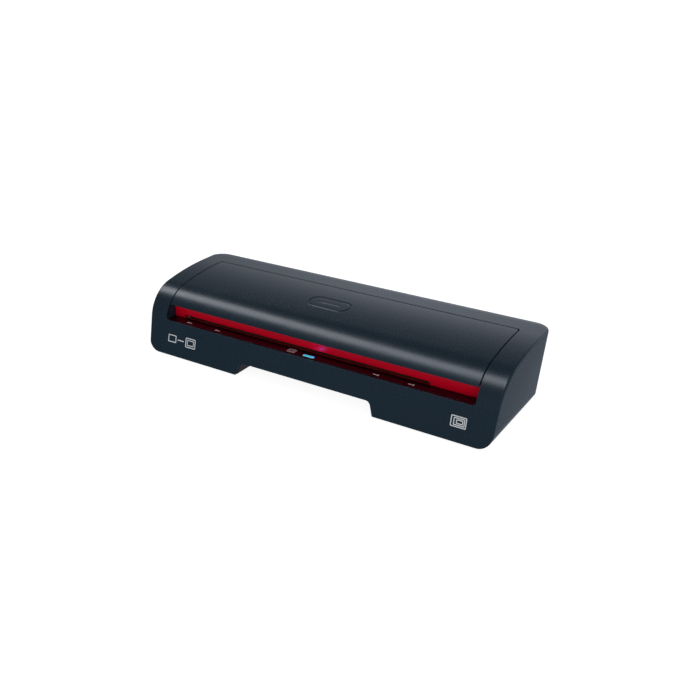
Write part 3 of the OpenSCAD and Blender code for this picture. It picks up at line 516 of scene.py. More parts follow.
def ring(width: float, height: float, radius: float, line: float, low: float, high: float) -> Shape:
    """The outline of a rounded rectangle as a flat printed line: four levels joined in a loop."""
    out = rounded_rectangle(width, height, radius)
    hole = rounded_rectangle(width - 2 * line, height - 2 * line, max(radius - line, 0.05))
    return Shape.stack([at_height(out, low), at_height(out, high), at_height(hole, high), at_height(hole, low)], True)


def lathe(profile: Grid, steps: int = 64) -> Shape:
    """Turn a closed profile about the Z axis.

    A point of the profile is radius and height; it sweeps to radius times cosine and sine of the turn.

    Args:
        profile: the loop, anticlockwise with the radius to the right and the height up.
        steps: steps in a full turn.

    Returns:
        The turned ring.
    """
    turn = np.linspace(0, 2 * math.pi, steps, endpoint=False)[:, None]
    r, z = profile[None, :, 0], profile[None, :, 1]
    levels = np.stack([r * np.cos(turn), r * np.sin(turn), z + 0 * turn], 2)
    return Shape.stack([level[::-1] for level in levels], True)


# ------------------------------------------------------------------ casing


@dataclass
class CasingForm:
    """The casing's form: one section carried along X, drawn in near its two ends.

    A section point is a distance back from the front foot and a height above the casing's foot. Along the section the
    parameter counts its stretches: foot radius, leaning front, bend, crown, level roof, back radius, leaning back,
    rear foot radius and floor.
    """

    width: float
    depth: float
    height: float
    foot: float
    front_lean: float = 15.0
    bend_radius: float = 34.0
    crown_radius: float = 260.0
    crown_distance: float = 84.0
    back_lean: float = 9.6
    side_draft: float = 3.0
    side_radius: float = 1.9
    back_radius: float = 1.3
    foot_radius: float = 0.7
    rear_corner: float = 14.0
    low_corner: float = 11.0
    end_zone: float = 15.5
    stretches: int = 9

    def __post_init__(self) -> None:
        """Find the bend's centre, tangent to the front and to the crown, and the nominal section's length."""
        lean = math.radians(self.front_lean)
        inward = np.array([math.cos(lean), -math.sin(lean)])
        up = np.array([math.sin(lean), math.cos(lean)])
        self.crown_centre = np.array([self.crown_distance, self.height - self.crown_radius])
        offset = self.bend_radius * inward - self.crown_centre
        along = offset @ up
        reach = (self.crown_radius - self.bend_radius) ** 2
        self.bend_centre = self.bend_radius * inward + (math.sqrt(along**2 - offset @ offset + reach) - along) * up
        gap = self.bend_centre - self.crown_centre
        self.crown_turn = math.degrees(math.atan2(gap[1], gap[0]))
        self.fine_v = np.linspace(0, self.stretches, 9001)
        d, z = self.section(self.fine_v, 0, 0, 0, 0)
        self.fine_s = np.concatenate([[0], np.cumsum(np.hypot(np.diff(d), np.diff(z)))])
        self.fine_d, self.fine_z = d, z

    def section(self, v: Grid, inset: float, side: Grid, corner: Grid, low: Grid) -> tuple[Grid, Grid]:
        """Work out section points.

        Args:
            v: parameter along the section, from 0 to the number of stretches.
            inset: depth below the outer skin.
            side: further depth of front, bend and roof, near the casing's ends.
            corner: how far the back comes forward.
            low: how far the floor comes up.

        Returns:
            Distances from the front foot, and heights.
        """
        t = inset + side
        tan_front, tan_back = math.tan(math.radians(self.front_lean)), math.tan(math.radians(self.back_lean))
        start = math.radians(180 - self.front_lean)
        bend, crown = self.bend_radius - t, self.crown_radius - t
        b0 = (self.bend_centre[0] + bend * math.cos(start), self.bend_centre[1] + bend * math.sin(start))
        floor = low + inset
        foot = max(self.foot_radius - inset, 0.15)
        back_r = max(self.back_radius - inset, 0.15)
        front_foot = b0[0] - (b0[1] - floor) * tan_front
        lead = foot / math.tan(math.radians(90 - self.front_lean) / 2)
        roof = self.height - t
        top_back = self.depth - corner - inset / math.cos(math.radians(self.back_lean))
        sharp_back = top_back - (self.height - roof) * tan_back
        back_lead = back_r / math.tan(math.radians(90 - self.back_lean) / 2)
        rear_foot = top_back - (self.height - floor) * tan_back
        rear_lead = foot / math.tan(math.radians(90 + self.back_lean) / 2)

        def arc(centre: tuple, radius: Grid, a: float, b: float, share: Grid) -> tuple[Grid, Grid]:
            """Point of an arc at a share of the way from angle a to angle b."""
            angle = np.radians(a + (b - a) * share)
            return centre[0] + radius * np.cos(angle), centre[1] + radius * np.sin(angle)

        def line(a: tuple, b: tuple, share: Grid) -> tuple[Grid, Grid]:
            """Point of a straight line at a share of the way."""
            return a[0] + (b[0] - a[0]) * share, a[1] + (b[1] - a[1]) * share

        foot_c = (front_foot + lead, floor + foot)
        back_c = (sharp_back - back_lead, roof - back_r)
        rear_c = (rear_foot - rear_lead, floor + foot)
        f = [np.clip(v - k, 0, 1) for k in range(self.stretches)]
        foot_end = arc(foot_c, foot, -90, -180 - self.front_lean, np.ones_like(t))
        back_end = arc(back_c, back_r, 90, -self.back_lean, np.ones_like(t))
        rear_start = arc(rear_c, foot, -self.back_lean, -90, np.zeros_like(t))
        parts = [
            arc(foot_c, foot, -90, -180 - self.front_lean, f[0]),
            line(foot_end, b0, f[1]),
            arc(self.bend_centre, bend, 180 - self.front_lean, self.crown_turn, f[2]),
            arc(self.crown_centre, crown, self.crown_turn, 90, f[3]),
            line((self.crown_distance, roof), (back_c[0], roof), f[4]),
            arc(back_c, back_r, 90, -self.back_lean, f[5]),
            line(back_end, rear_start, f[6]),
            arc(rear_c, foot, -self.back_lean, -90, f[7]),
            line((rear_c[0], floor), (foot_c[0], floor), f[8]),
        ]
        which = np.clip(np.floor(v), 0, self.stretches - 1).astype(int)
        d = np.select([which == k for k in range(self.stretches)], [p[0] + 0 * v for p in parts])
        z = np.select([which == k for k in range(self.stretches)], [p[1] + 0 * v for p in parts])
        return d, z

    def v_at_height(self, z: float, back: bool = False) -> float:
        """Parameter of a height on the front, bend and crown, or on the back."""
        part = (self.fine_v > 6) & (self.fine_v < 8) if back else (self.fine_v > 0.2) & (self.fine_v < 4)
        order = -1 if back else 1
        return float(np.interp(z, self.fine_z[part][::order], self.fine_v[part][::order]))

    def v_at_distance(self, d: float) -> float:
        """Parameter of a distance on the bend, crown and roof."""
        part = (self.fine_v > 2) & (self.fine_v < 5.5)
        return float(np.interp(d, self.fine_d[part], self.fine_v[part]))

    def s_of(self, v: Grid) -> Grid:
        """Length along the nominal section at a parameter."""
        return np.interp(v, self.fine_v, self.fine_s)

    def v_of(self, s: Grid) -> Grid:
        """Parameter at a length along the nominal section."""
        return np.interp(s, self.fine_s, self.fine_v)

    def skin(self, x: Grid, v: Grid, inset: float = 0.0, sunk: Grid | float = 0.0) -> Grid:
        """Place points on the casing's skin, or below it.

        Near an end, a radius r draws the skin in by r less the root of r squared less the square of what is left of r:
        that shapes the side edge, the rear corner and the lower corner alike. The sides also lean inwards downwards.

        Args:
            x: stations across the casing, measured at its top.
            v: parameters along the section.
            inset: depth below the outer skin.
            sunk: further depth of engraving.

        Returns:
            Points in the frame's directions, in millimetres.
        """
        half, zone = self.width / 2, self.width / 2 - self.end_zone
        size, sign = np.abs(x), np.sign(x)
        size = np.where(size > zone, zone + (size - zone) * (half - inset - zone) / (half - zone), size)
        left = half - inset - size

        def drawn(radius: float) -> Grid:
            """How far a radius draws the skin in."""
            r = max(radius - inset, 0.15)
            return r - np.sqrt(np.maximum(r * r - np.clip(r - left, 0, r) ** 2, 0))

        d, z = self.section(v, inset, drawn(self.side_radius) + sunk, drawn(self.rear_corner), drawn(self.low_corner))
        lean = self.side_draft / self.height * (self.height - z) * smooth(size, zone - 3.5, zone + 1)
        return np.stack([sign * (size - lean), d - self.depth / 2, z + self.foot], -1)


@dataclass
class Casing:
    """Upper case, cover, mouth and ledge.

    Attributes:
        form: the casing's form.
        wall: thickness of the mouldings.
        cover_half: half the width of the cover's opening.
        cover_back: distance of the cover's back seam.
        seam: gap round the cover.
        ledge: height of the ledge.
        lip: height of the cover's front lip.
        mouth_back: distance of the red wall.
        slot: width and height of the entry slot's cut, whose lower part the ledge hides.
        slot_top: height of the slot's upper edge above the ledge.
        path_x: middle of the pouch path.
        notch_half, notch_height, notch_lean, notch_radius: the notch under the front and back.
        window_radius, low_window_radius: corner radii of the cover's opening, at its back and at the ledge.
        exit_half, exit_low, exit_high: half the width of the exit slot, and its heights.
        switch_centre, switch_hole, gland_centre, gland_hole: places and sizes of the two rear cuts.
        groove_depth, groove_width: section of the engraved mark's grooves.
        mark_x, mark_distance, mark_step: the patch round the mark that is meshed finely, and its step.
    """

    form: CasingForm
    wall: float = 2.0
    cover_half: float = 146.1
    cover_back: float = 86.1
    seam: float = 1.0
    ledge: float = 29.2
    lip: float = 41.5
    mouth_back: float = 20.5
    bezel_depth: float = 2.2
    slot: tuple[float, float] = (240.0, 3.6)
    slot_top: float = 2.4
    path_x: float = -16.0
    notch_half: float = 66.0
    notch_height: float = 11.0
    notch_lean: float = 20.0
    notch_radius: float = 3.0
    window_radius: float = 2.2
    low_window_radius: float = 3.0
    exit_half: float = 121.0
    exit_low: float = 29.0
    exit_high: float = 34.2
    switch_centre: tuple[float, float] = (136.0, 23.0)
    switch_hole: tuple[float, float] = (13.0, 19.0)
    gland_centre: tuple[float, float] = (116.0, 14.0)
    gland_hole: float = 10.0
    groove_depth: float = 0.45
    groove_width: float = 1.7
    mark_x: tuple[float, float] = (-32.0, 20.0)
    mark_distance: tuple[float, float] = (41.0, 70.0)
    mark_step: float = 0.55

    def upper_case(self) -> bpy.types.Object:
        """Make the wrap-round shell with its window, notch, slot and fitting holes, its cheeks and its cover seat."""
        form = self.form
        half, zone = form.width / 2, form.width / 2 - form.end_zone
        curl = np.radians(np.linspace(0, 90, 15))
        ends = (half - form.rear_corner * (1 - np.cos(curl))).tolist()
        ends += (half - form.side_radius * (1 - np.cos(np.radians(np.linspace(0, 90, 7))))).tolist()
        (sx, sz), (gx, gz) = self.switch_centre, self.gland_centre
        knots = [*ends, zone, self.cover_half, self.notch_half, *around(self.cover_half, 6, 8),
                 *around(self.notch_half - self.notch_radius, 6, 8)]
        x = spread([*knots, *(-k for k in knots), self.path_x - self.exit_half, self.path_x + self.exit_half,
                    sx - self.switch_hole[0] / 2, sx + self.switch_hole[0] / 2, gx - self.gland_hole / 2,
                    gx + self.gland_hole / 2], 9.0)
        low, back = form.v_at_height(self.ledge), form.v_at_distance(self.cover_back)
        notch = form.v_at_height(self.notch_height), form.v_at_height(self.notch_height, True)
        rows = [float(k) for k in range(form.stretches)]
        for start, count in ((0, 5), (2, 24), (3, 16), (5, 6), (7, 5)):
            rows += np.linspace(start, start + 1, count).tolist()
        for centre, reach in ((low, 6), (back, 5), (notch[0], 6), (notch[1], 6)):
            rows += form.v_of(form.s_of(centre) + np.array(around(0, reach, 8))).tolist()
        backs = [form.v_at_height(z, True) for z in (
            self.exit_low, self.exit_high, sz - self.switch_hole[1] / 2, sz + self.switch_hole[1] / 2,
            gz - self.gland_hole / 2, gz + self.gland_hole / 2)]
        v = spread([r for r in [*rows, *backs] if r < form.stretches], 0.25)
        xm, vm = (x[1:] + x[:-1]) / 2, (v + np.roll(v, -1)) / 2
        vm[-1] = (v[-1] + form.stretches) / 2
        xm, vm = xm[:, None], vm[None, :]
        window = (np.abs(xm) < self.cover_half) & (vm > low) & (vm < back)
        notched = (np.abs(xm) < self.notch_half) & ((vm < notch[0]) | (vm > notch[1]))
        floor = (np.abs(xm) < zone) & (vm > 8)
        exit_slot = (np.abs(xm - self.path_x) < self.exit_half) & (vm > backs[1]) & (vm < backs[0])
        switch = (np.abs(xm - sx) < self.switch_hole[0] / 2) & (vm > backs[3]) & (vm < backs[2])
        gland = (np.abs(xm - gx) < self.gland_hole / 2) & (vm > backs[5]) & (vm < backs[4])
        keep = ~(window | notched | floor | exit_slot | switch | gland)
        gx_, gv = self.bent(x, v, low, back, notch)
        shell = Shape.wall(form.skin(gx_, gv), form.skin(gx_, gv, self.wall), keep, wrap=True, caps=True)
        whole = shell.joined(self.cover_seat(), self.cheek(), self.cheek().mirrored())
        whole.worn = shell.worn
        return whole.piece("upper_case_shell", SHELL, 0.15)

    def bent(self, x: Grid, v: Grid, low: float, back: float, notch: tuple[float, float]) -> tuple[Grid, Grid]:
        """Round the corners of the window and the notch, and lean the notch's sides."""
        form = self.form
        gx, gs = np.meshgrid(x, form.s_of(v), indexing="ij")
        s_low, s_back = float(form.s_of(low)), float(form.s_of(back))
        front, rear = float(form.s_of(notch[0])), float(form.s_of(notch[1]))
        for side in (-1, 1):
            edge, foot = side * self.cover_half, side * self.notch_half
            gx, gs = round_corner(gx, gs, (edge, s_low), (-side, 1), self.low_window_radius)
            gx, gs = round_corner(gx, gs, (edge, s_back), (-side, -1), self.window_radius)
            gx, gs = round_corner(gx, gs, (foot, front), (-side, -1), self.notch_radius)
            gx, gs = round_corner(gx, gs, (foot, rear), (-side, 1), self.notch_radius)
        z = np.interp(gs, form.fine_s, form.fine_z)
        near = np.clip(1 - ((np.abs(gx) - self.notch_half) / 22) ** 2, 0, 1)
        fade = 1 - smooth(z, self.notch_height + 2, self.ledge - 2)
        upright = (gs < s_low) | (gs > form.s_of(6))
        shift = math.tan(math.radians(self.notch_lean)) * np.minimum(z, self.notch_height) * near * fade * upright
        return gx - np.sign(gx) * shift, form.v_of(gs)

    def cover_seat(self) -> Shape:
        """The rim under the cover's edge: the casing's skin between two depths, cut to a U."""
        form = self.form
        inner, outer = self.cover_half - 5, self.cover_half + 4
        x = spread([-outer, -inner, inner, outer], 12)
        start, seam = form.v_at_height(self.lip + 4.5), form.v_at_distance(self.cover_back - 5)
        v = spread([start, 3.0, 4.0, seam, form.v_at_distance(self.cover_back + 3)], 0.06)
        keep = (np.abs((x[1:] + x[:-1]) / 2)[:, None] > inner) | ((v[1:] + v[:-1]) / 2 > seam)[None, :]
        gx, gv = np.meshgrid(x, v, indexing="ij")
        return Shape.wall(form.skin(gx, gv, self.wall + 0.3), form.skin(gx, gv, self.wall + 2), keep)

    def cheek(self) -> Shape:
        """The dark cheek at the mouth's right end: a plate from the casing's skin back to the red wall."""
        form = self.form
        v = spread([form.v_at_height(self.ledge - 4), form.v_at_height(self.lip + 5)], 0.04)
        front = form.skin(np.full_like(v, self.cover_half), v, 1.1)
        back = front.copy()
        back[:, 1] = self.mouth_back + self.bezel_depth - form.depth / 2
        share = np.linspace(0, 1, 5)[:, None, None]
        face = back + (front - back) * share
        thick = face + np.array([2.0, 0, 0])
        return Shape.wall(face, thick)

    def cover(self) -> bpy.types.Object:
        """Make the lid panel: a flat soffit behind the lip, then the casing's skin, with an engraved plain mark."""
        form, gap = self.form, self.seam
        half = self.cover_half - gap
        x = spread([-half, half, *around(-half, 5, 7)[7:], *around(half, 5, 7)[:8], -34, -28, 16, 22], 7.0)
        left, right = self.mark_x
        fine = np.arange(left, right + 0.2, self.mark_step)
        x = np.unique(np.concatenate([x[(x < left) | (x > right)], fine]))
        v0, v1 = form.v_at_height(self.lip), form.v_at_distance(self.cover_back - gap)
        v0_in = form.v_at_height(self.lip + self.wall) + 0.02
        start, stop = (form.v_at_distance(d) for d in self.mark_distance)
        marks = form.v_of(np.arange(form.s_of(start), form.s_of(stop), self.mark_step))
        last = form.v_of(form.s_of(v1) + np.array(around(0, 5, 7)[:8]))
        v = spread([v0, 3.0, start, stop, 4.0, *last], 0.045)
        v = np.unique(np.concatenate([v[(v < start) | (v > stop)], marks]))
        gx, gs = np.meshgrid(x, form.s_of(v), indexing="ij")
        for side in (-1, 1):
            gx, gs = round_corner(gx, gs, (side * half, float(form.s_of(v1))), (-side, -1), self.window_radius)
        gv = form.v_of(gs)
        middle = form.s_of(form.v_at_distance(sum(self.mark_distance) / 2 - 0.5))
        outer = form.skin(gx, gv, 0.0, self.groove(gx, gs - middle))
        inner = form.skin(gx, v0_in + (gv - v0) * (v1 - v0_in) / (v1 - v0), self.wall)
        inner[..., 0] *= (half - 0.02) / half
        back = self.mouth_back + 0.1 - form.depth / 2
        share = np.linspace(0, 1, 4, endpoint=False)[None, :, None]
        sill = outer[:, :1] * np.array([1, 0, 1]) + np.array([0, back, 0])
        high = inner[:, :1] * np.array([1, 0, 1]) + np.array([0, back, 0])
        outer = np.concatenate([sill + (outer[:, :1] - sill) * share, outer], 1)
        inner = np.concatenate([high + (inner[:, :1] - high) * share, inner], 1)
        shape = Shape.wall(outer, inner)
        n, m = outer.shape[:2]
        lip = np.stack([np.arange(n - 1) * m + 4, np.arange(1, n) * m + 4], 1)
        shape.worn = np.concatenate([shape.worn, lip])
        return shape.piece("top_cover_panel", SHELL, 0.15)

    def groove(self, x: Grid, s: Grid) -> Grid:
        """Depth of the engraved mark: a pill outline round a straight bar, cut as raised-cosine grooves.

        The distance to a rounded rectangle's outline is the length outside its inner box less the radius; the groove is
        half of one plus the cosine of that distance over the half width.
        """

        def outline(cx: float, cs: float, w: float, h: float, r: float) -> Grid:
            """Distance from a rounded rectangle's outline."""
            qx, qs = np.abs(x - cx) - w / 2 + r, np.abs(s - cs) - h / 2 + r
            outside = np.hypot(np.maximum(qx, 0), np.maximum(qs, 0)) + np.minimum(np.maximum(qx, qs), 0)
            return np.abs(outside - r)

        middle = self.path_x / 2 + 1
        near = np.minimum(outline(middle, 0, 38, 15, 7.4), outline(middle, 0, 20, 0.02, 0.0))
        share = np.clip(near / (self.groove_width / 2), 0, 1)
        return self.groove_depth * (1 + np.cos(math.pi * share)) / 2

    def bezel(self) -> bpy.types.Object:
        """Make the red wall, with a slot whose ends are round."""
        width, height = self.slot
        r = height / 2
        x0, x1 = self.path_x - width / 2, self.path_x + width / 2
        half = self.cover_half - 0.1
        z0, z1 = self.ledge + self.slot_top - height, self.ledge + self.slot_top
        x = spread([-half, half, *around(x0 + r, 2 * r, 12), *around(x1 - r, 2 * r, 12)], 10)
        z = spread([self.ledge - 6, self.lip + 3, *around((z0 + z1) / 2, 2 * r, 16)], 1.0)
        gx, gz = np.meshgrid(x, z, indexing="ij")
        xm, zm = ((x[1:] + x[:-1]) / 2)[:, None], ((z[1:] + z[:-1]) / 2)[None, :]
        keep = ~((xm > x0) & (xm < x1) & (zm > z0) & (zm < z1))
        for corner, inward in (((x0, z0), (1, 1)), ((x0, z1), (1, -1)), ((x1, z0), (-1, 1)), ((x1, z1), (-1, -1))):
            gx, gz = round_corner(gx, gz, corner, inward, r - 0.01)
        y = self.mouth_back - self.form.depth / 2
        front = np.stack([gx, np.full_like(gx, y), gz + self.form.foot], -1)
        shape = Shape.wall(front, front + np.array([0, self.bezel_depth, 0]), keep)
        return shape.piece("feed_bezel_wall", MOUTH_RED, 0.3)

    def ledge_plate(self, light: LightPipe) -> bpy.types.Object:
        """Make the glossy ledge, with a hole for the light; its near-black wine colour is painted shade and painted
        reflection on the red plastic under the lip.
        """
        form = self.form
        half = self.cover_half - 0.15
        lx, ly = light.length / 2 + 0.12, light.width / 2 + 0.12
        front = form.section(np.array([1.0, form.v_at_height(self.ledge)]), self.wall, 0.0, 0.0, 0.0)[0][1]
        y_mid = light.distance - form.depth / 2
        y = spread([front - form.depth / 2 + 0.3, self.mouth_back - form.depth / 2 - 0.02,
                    *around(y_mid, ly, 6)], 1.2)
        x = spread([-half, half, *around(-lx + ly, ly, 6), *around(lx - ly, ly, 6)], 8)
        gx, gy = np.meshgrid(x, y, indexing="ij")
        xm, ym = ((x[1:] + x[:-1]) / 2)[:, None], ((y[1:] + y[:-1]) / 2)[None, :]
        keep = ~((np.abs(xm) < lx) & (np.abs(ym - y_mid) < ly))
        for sx in (-1, 1):
            for sy in (-1, 1):
                gx, gy = round_corner(gx, gy, (sx * lx, y_mid + sy * ly), (-sx, -sy), ly - 0.01)
        top = np.stack([gx, gy, np.full_like(gx, self.ledge - 0.2 + form.foot)], -1)
        return Shape.wall(top, top - np.array([0, 0, 2.0]), keep).piece("feed_ledge_plate", LEDGE_RED_PAINTED_SHADE, 0.12)


@dataclass
class LightPipe:
    """The status light in the ledge: a pill with a low dome."""

    length: float = 10.6
    width: float = 2.8
    distance: float = 13.2
    steps: int = 9

    def lens(self, casing: Casing) -> bpy.types.Object:
        """Make the pill: its outline shrinks towards the middle as its height follows a quarter of an ellipse."""
        z = casing.ledge + casing.form.foot
        turn = np.radians(np.linspace(0, 84, self.steps))
        outlines = [at_height(rounded_rectangle(self.length, self.width, self.width / 2), z - 4)]
        for angle in turn:
            inset = self.width / 2 * (1 - math.cos(angle)) * 0.9
            outline = rounded_rectangle(self.length - 2 * inset, self.width - 2 * inset, self.width / 2 - inset)
            outlines.append(at_height(outline, z - 0.25 + 0.4 * math.sin(angle)))
        shape = Shape.stack(outlines).moved((0, self.distance - casing.form.depth / 2, 0))
        return shape.piece("led_lens_pill", LIGHT_PIPE)


@dataclass
class Marks:
    """Generic printed marks: size ticks and a sheet on the ledge, and plain signs on the front."""

    casing: Casing
    ink: float = 0.05
    tick_x: tuple[float, ...] = (-123.7, -92.8, 60.9, 91.2)
    tick_distance: float = 13.6
    sheet_x: float = -17.2
    sheet_distance: float = 14.6
    signs_x: float = -137.0
    sizes_x: float = 142.0
    signs_height: float = 15.0

    def on_ledge(self) -> bpy.types.Object:
        """Print ticks of two pouch widths and a sheet with two lines of relief."""
        z = self.casing.ledge - 0.2 + self.casing.form.foot
        parts = []
        for x in self.tick_x:
            side = 1 if x > self.casing.path_x else -1
            bar = pad(4.0, 0.75, 0.2, 0, self.ink, 0.02).moved((x, 0, 0))
            stop = pad(0.75, 2.4, 0.2, 0, self.ink, 0.02).moved((x + side * 2.6, 0.2, 0))
            parts += [s.moved((0, self.tick_distance - self.casing.form.depth / 2, z)) for s in (bar, stop)]
        at = (self.sheet_x, self.sheet_distance - self.casing.form.depth / 2, z)
        parts += [ring(7.2, 5.2, 0.8, 0.45, 0, self.ink).moved(at), ring(4.4, 2.6, 0.6, 0.4, 0, self.ink).moved(at)]
        return parts[0].joined(*parts[1:]).piece("ledge_marks", PRINT_ROSE)

    def on_front(self) -> bpy.types.Object:
        """Print signs on the leaning front: a sheet that goes into a pouch, and three sheet sizes."""
        form, height = self.casing.form, self.signs_height
        lean = 90 - form.front_lean
        base = height * math.tan(math.radians(form.front_lean)) - form.depth / 2

        def stand(shape: Shape, x: float, up: float) -> Shape:
            """Stand a flat sign on the leaning front."""
            return shape.moved((x, up, 0)).moved((0, base, height + form.foot), lean)

        sheet, dash, pouch = (self.signs_x + step for step in (0.0, 9.5, 20.5))
        left = [
            stand(ring(9, 6.5, 0.8, 0.75, 0, self.ink), sheet, 0),
            stand(pad(7, 0.8, 0.3, 0, self.ink, 0.02), dash, 0),
            stand(ring(11, 8.5, 1.2, 0.75, 0, self.ink), pouch, 0),
            stand(ring(7.4, 4.9, 0.6, 0.6, 0, self.ink), pouch, 0),
        ]
        right = [
            stand(ring(w, h, 0.8, 0.7, 0, self.ink), self.sizes_x - inset - w / 2, h / 2 - 4 + inset)
            for w, h, inset in ((12.5, 8.5, 0.0), (9.0, 5.9, 1.3), (5.6, 3.3, 2.6))
        ]
        return left[0].joined(*left[1:], *right).piece("front_marks", PRINT_WHITE)


@dataclass
class Feet:
    """Rubber feet: discs with a rounded rim and a shallow ring groove below."""

    names: tuple[str, ...] = ("foot_front_left", "foot_front_right", "foot_rear_left", "foot_rear_right")

    def build(self) -> list[tuple[str, bpy.types.Object]]:
        """Turn each foot from its packed box."""
        made = []
        for name in self.names:
            low, high = (np.array(c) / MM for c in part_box(name))
            r, h = (high[0] - low[0]) / 2, high[2] - low[2]
            turn = np.radians(np.linspace(-90, 0, 6))
            rim = np.stack([r - 0.4 + 0.4 * np.cos(turn), 0.4 + 0.4 * np.sin(turn)], 1)
            groove = np.array([[0.3, 0.25], [r * 0.5, 0.25], [r * 0.55, 0.0]])
            profile = np.concatenate([groove, rim, [[r, h - 0.1], [r - 0.1, h], [0.3, h]]])
            shape = lathe(profile, 48).moved(((low[0] + high[0]) / 2, (low[1] + high[1]) / 2, low[2]))
            made.append((name, shape.piece(name + "_pad", FOOT_RUBBER)))
        return made


@dataclass
class RearFittings:
    """Switch frame and cord gland on the leaning back."""

    casing: Casing
    frame: tuple[float, float, float] = (15.0, 21.0, 2.0)
    opening: tuple[float, float] = (10.6, 14.6)
    bore: float = 3.3
    collar: float = 7.0

    def switch_frame(self) -> bpy.types.Object:
        """Make the frame round the rocker: rounded outlines from the wall, over the rim and down the pocket."""
        w, h, t = self.frame
        ow, oh = self.opening
        form = self.casing.form
        levels = [
            (w - 1, h - 1, 1.5, -0.5), (w, h, 2.0, 0.0), (w, h, 2.0, t - 0.7), (w - 0.4, h - 0.4, 1.8, t - 0.2),
            (w - 1.2, h - 1.2, 1.4, t), (ow + 0.8, oh + 0.8, 0.9, t), (ow + 0.2, oh + 0.2, 0.7, t - 0.25),
            (ow, oh, 0.6, t - 0.7), (ow, oh, 0.6, -12.0), (w - 3, h - 3, 0.6, -12.0),
        ]
        outlines = [at_height(rounded_rectangle(a, b, r), z) for a, b, r, z in levels]
        shape = Shape.stack(outlines, True)
        x, z = self.casing.switch_centre
        y = form.depth / 2 - (form.height - z) * math.tan(math.radians(form.back_lean))
        upright = Shape(shape.points[:, [0, 2, 1]] * np.array([-1, 1, 1]), shape.faces)
        made = upright.moved((x, y, z + form.foot), -form.back_lean)
        return made.piece("switch_body_frame", NYLON_BLACK)

    def gland(self) -> bpy.types.Object:
        """Turn the cord gland, with a round-edged collar and a flared open bore."""
        low, high = (np.array(c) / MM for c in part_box("cord_gland"))
        length = high[1] - low[1]
        edge = np.radians(np.linspace(0, 90, 5))
        rim = np.stack([self.collar - 0.7 + 0.7 * np.cos(edge), length - 0.7 + 0.7 * np.sin(edge)], 1)
        flare = np.stack([self.bore + 0.9 - 0.9 * np.sin(edge), length - 0.9 + 0.9 * np.cos(edge)], 1)
        profile = np.concatenate([
            [[self.bore, 0], [self.collar - 1, 0], [self.collar - 1, 2], [self.collar - 2, 2.2],
             [self.collar - 2, length - 2.2], [self.collar, length - 2]], rim, flare])
        turned = lathe(profile, 64)
        back = Shape(turned.points[:, [0, 2, 1]], [f[::-1] for f in turned.faces])
        x, z = (low[0] + high[0]) / 2, (low[2] + high[2]) / 2
        return back.moved((x, low[1], z)).piece("cord_gland_bush", NYLON_BLACK)


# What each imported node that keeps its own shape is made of
CAD_FINISHES: dict[Finish, tuple[str, ...]] = {
    TRAY_BLACK: ("base_tray", "exit_guide", "switch_body", "thermostat"),
    NYLON_BLACK: ("power_rocker",),
    SOLDER_RESIST: ("led_board", "control_board"),
    ZINC_SHEET: ("left_frame", "right_frame", "heat_shield", "spring_caps", "motor_bracket", "drive_motor",
                 "thermal_fuse"),
    GROUND_BAR: ("lower_front_shaft", "upper_front_shaft", "lower_rear_shaft", "upper_rear_shaft", "idler_pin",
                 "motor_output_shaft", "motor_standoffs"),
    SCREW_ZINC: ("case_screws", "frame_screws", "cross_screws", "bracket_screws"),
    SPRING_WIRE: ("front_spring_left", "front_spring_right", "rear_spring_left", "rear_spring_right"),
    SILICONE: ("lower_front_roller", "upper_front_roller", "lower_rear_roller", "upper_rear_roller"),
    ACETAL: ("lower_bushes", "front_block_left", "front_block_right", "rear_block_left", "rear_block_right",
             "lower_front_gear", "upper_front_gear", "lower_rear_gear", "upper_rear_gear", "idler_gear",
             "drive_pinion"),
    MILL_ALUMINIUM: ("upper_heater_plate", "lower_heater_plate"),
    MICA: ("upper_heater_element", "lower_heater_element"),
}


# ------------------------------------------------------------------ studio


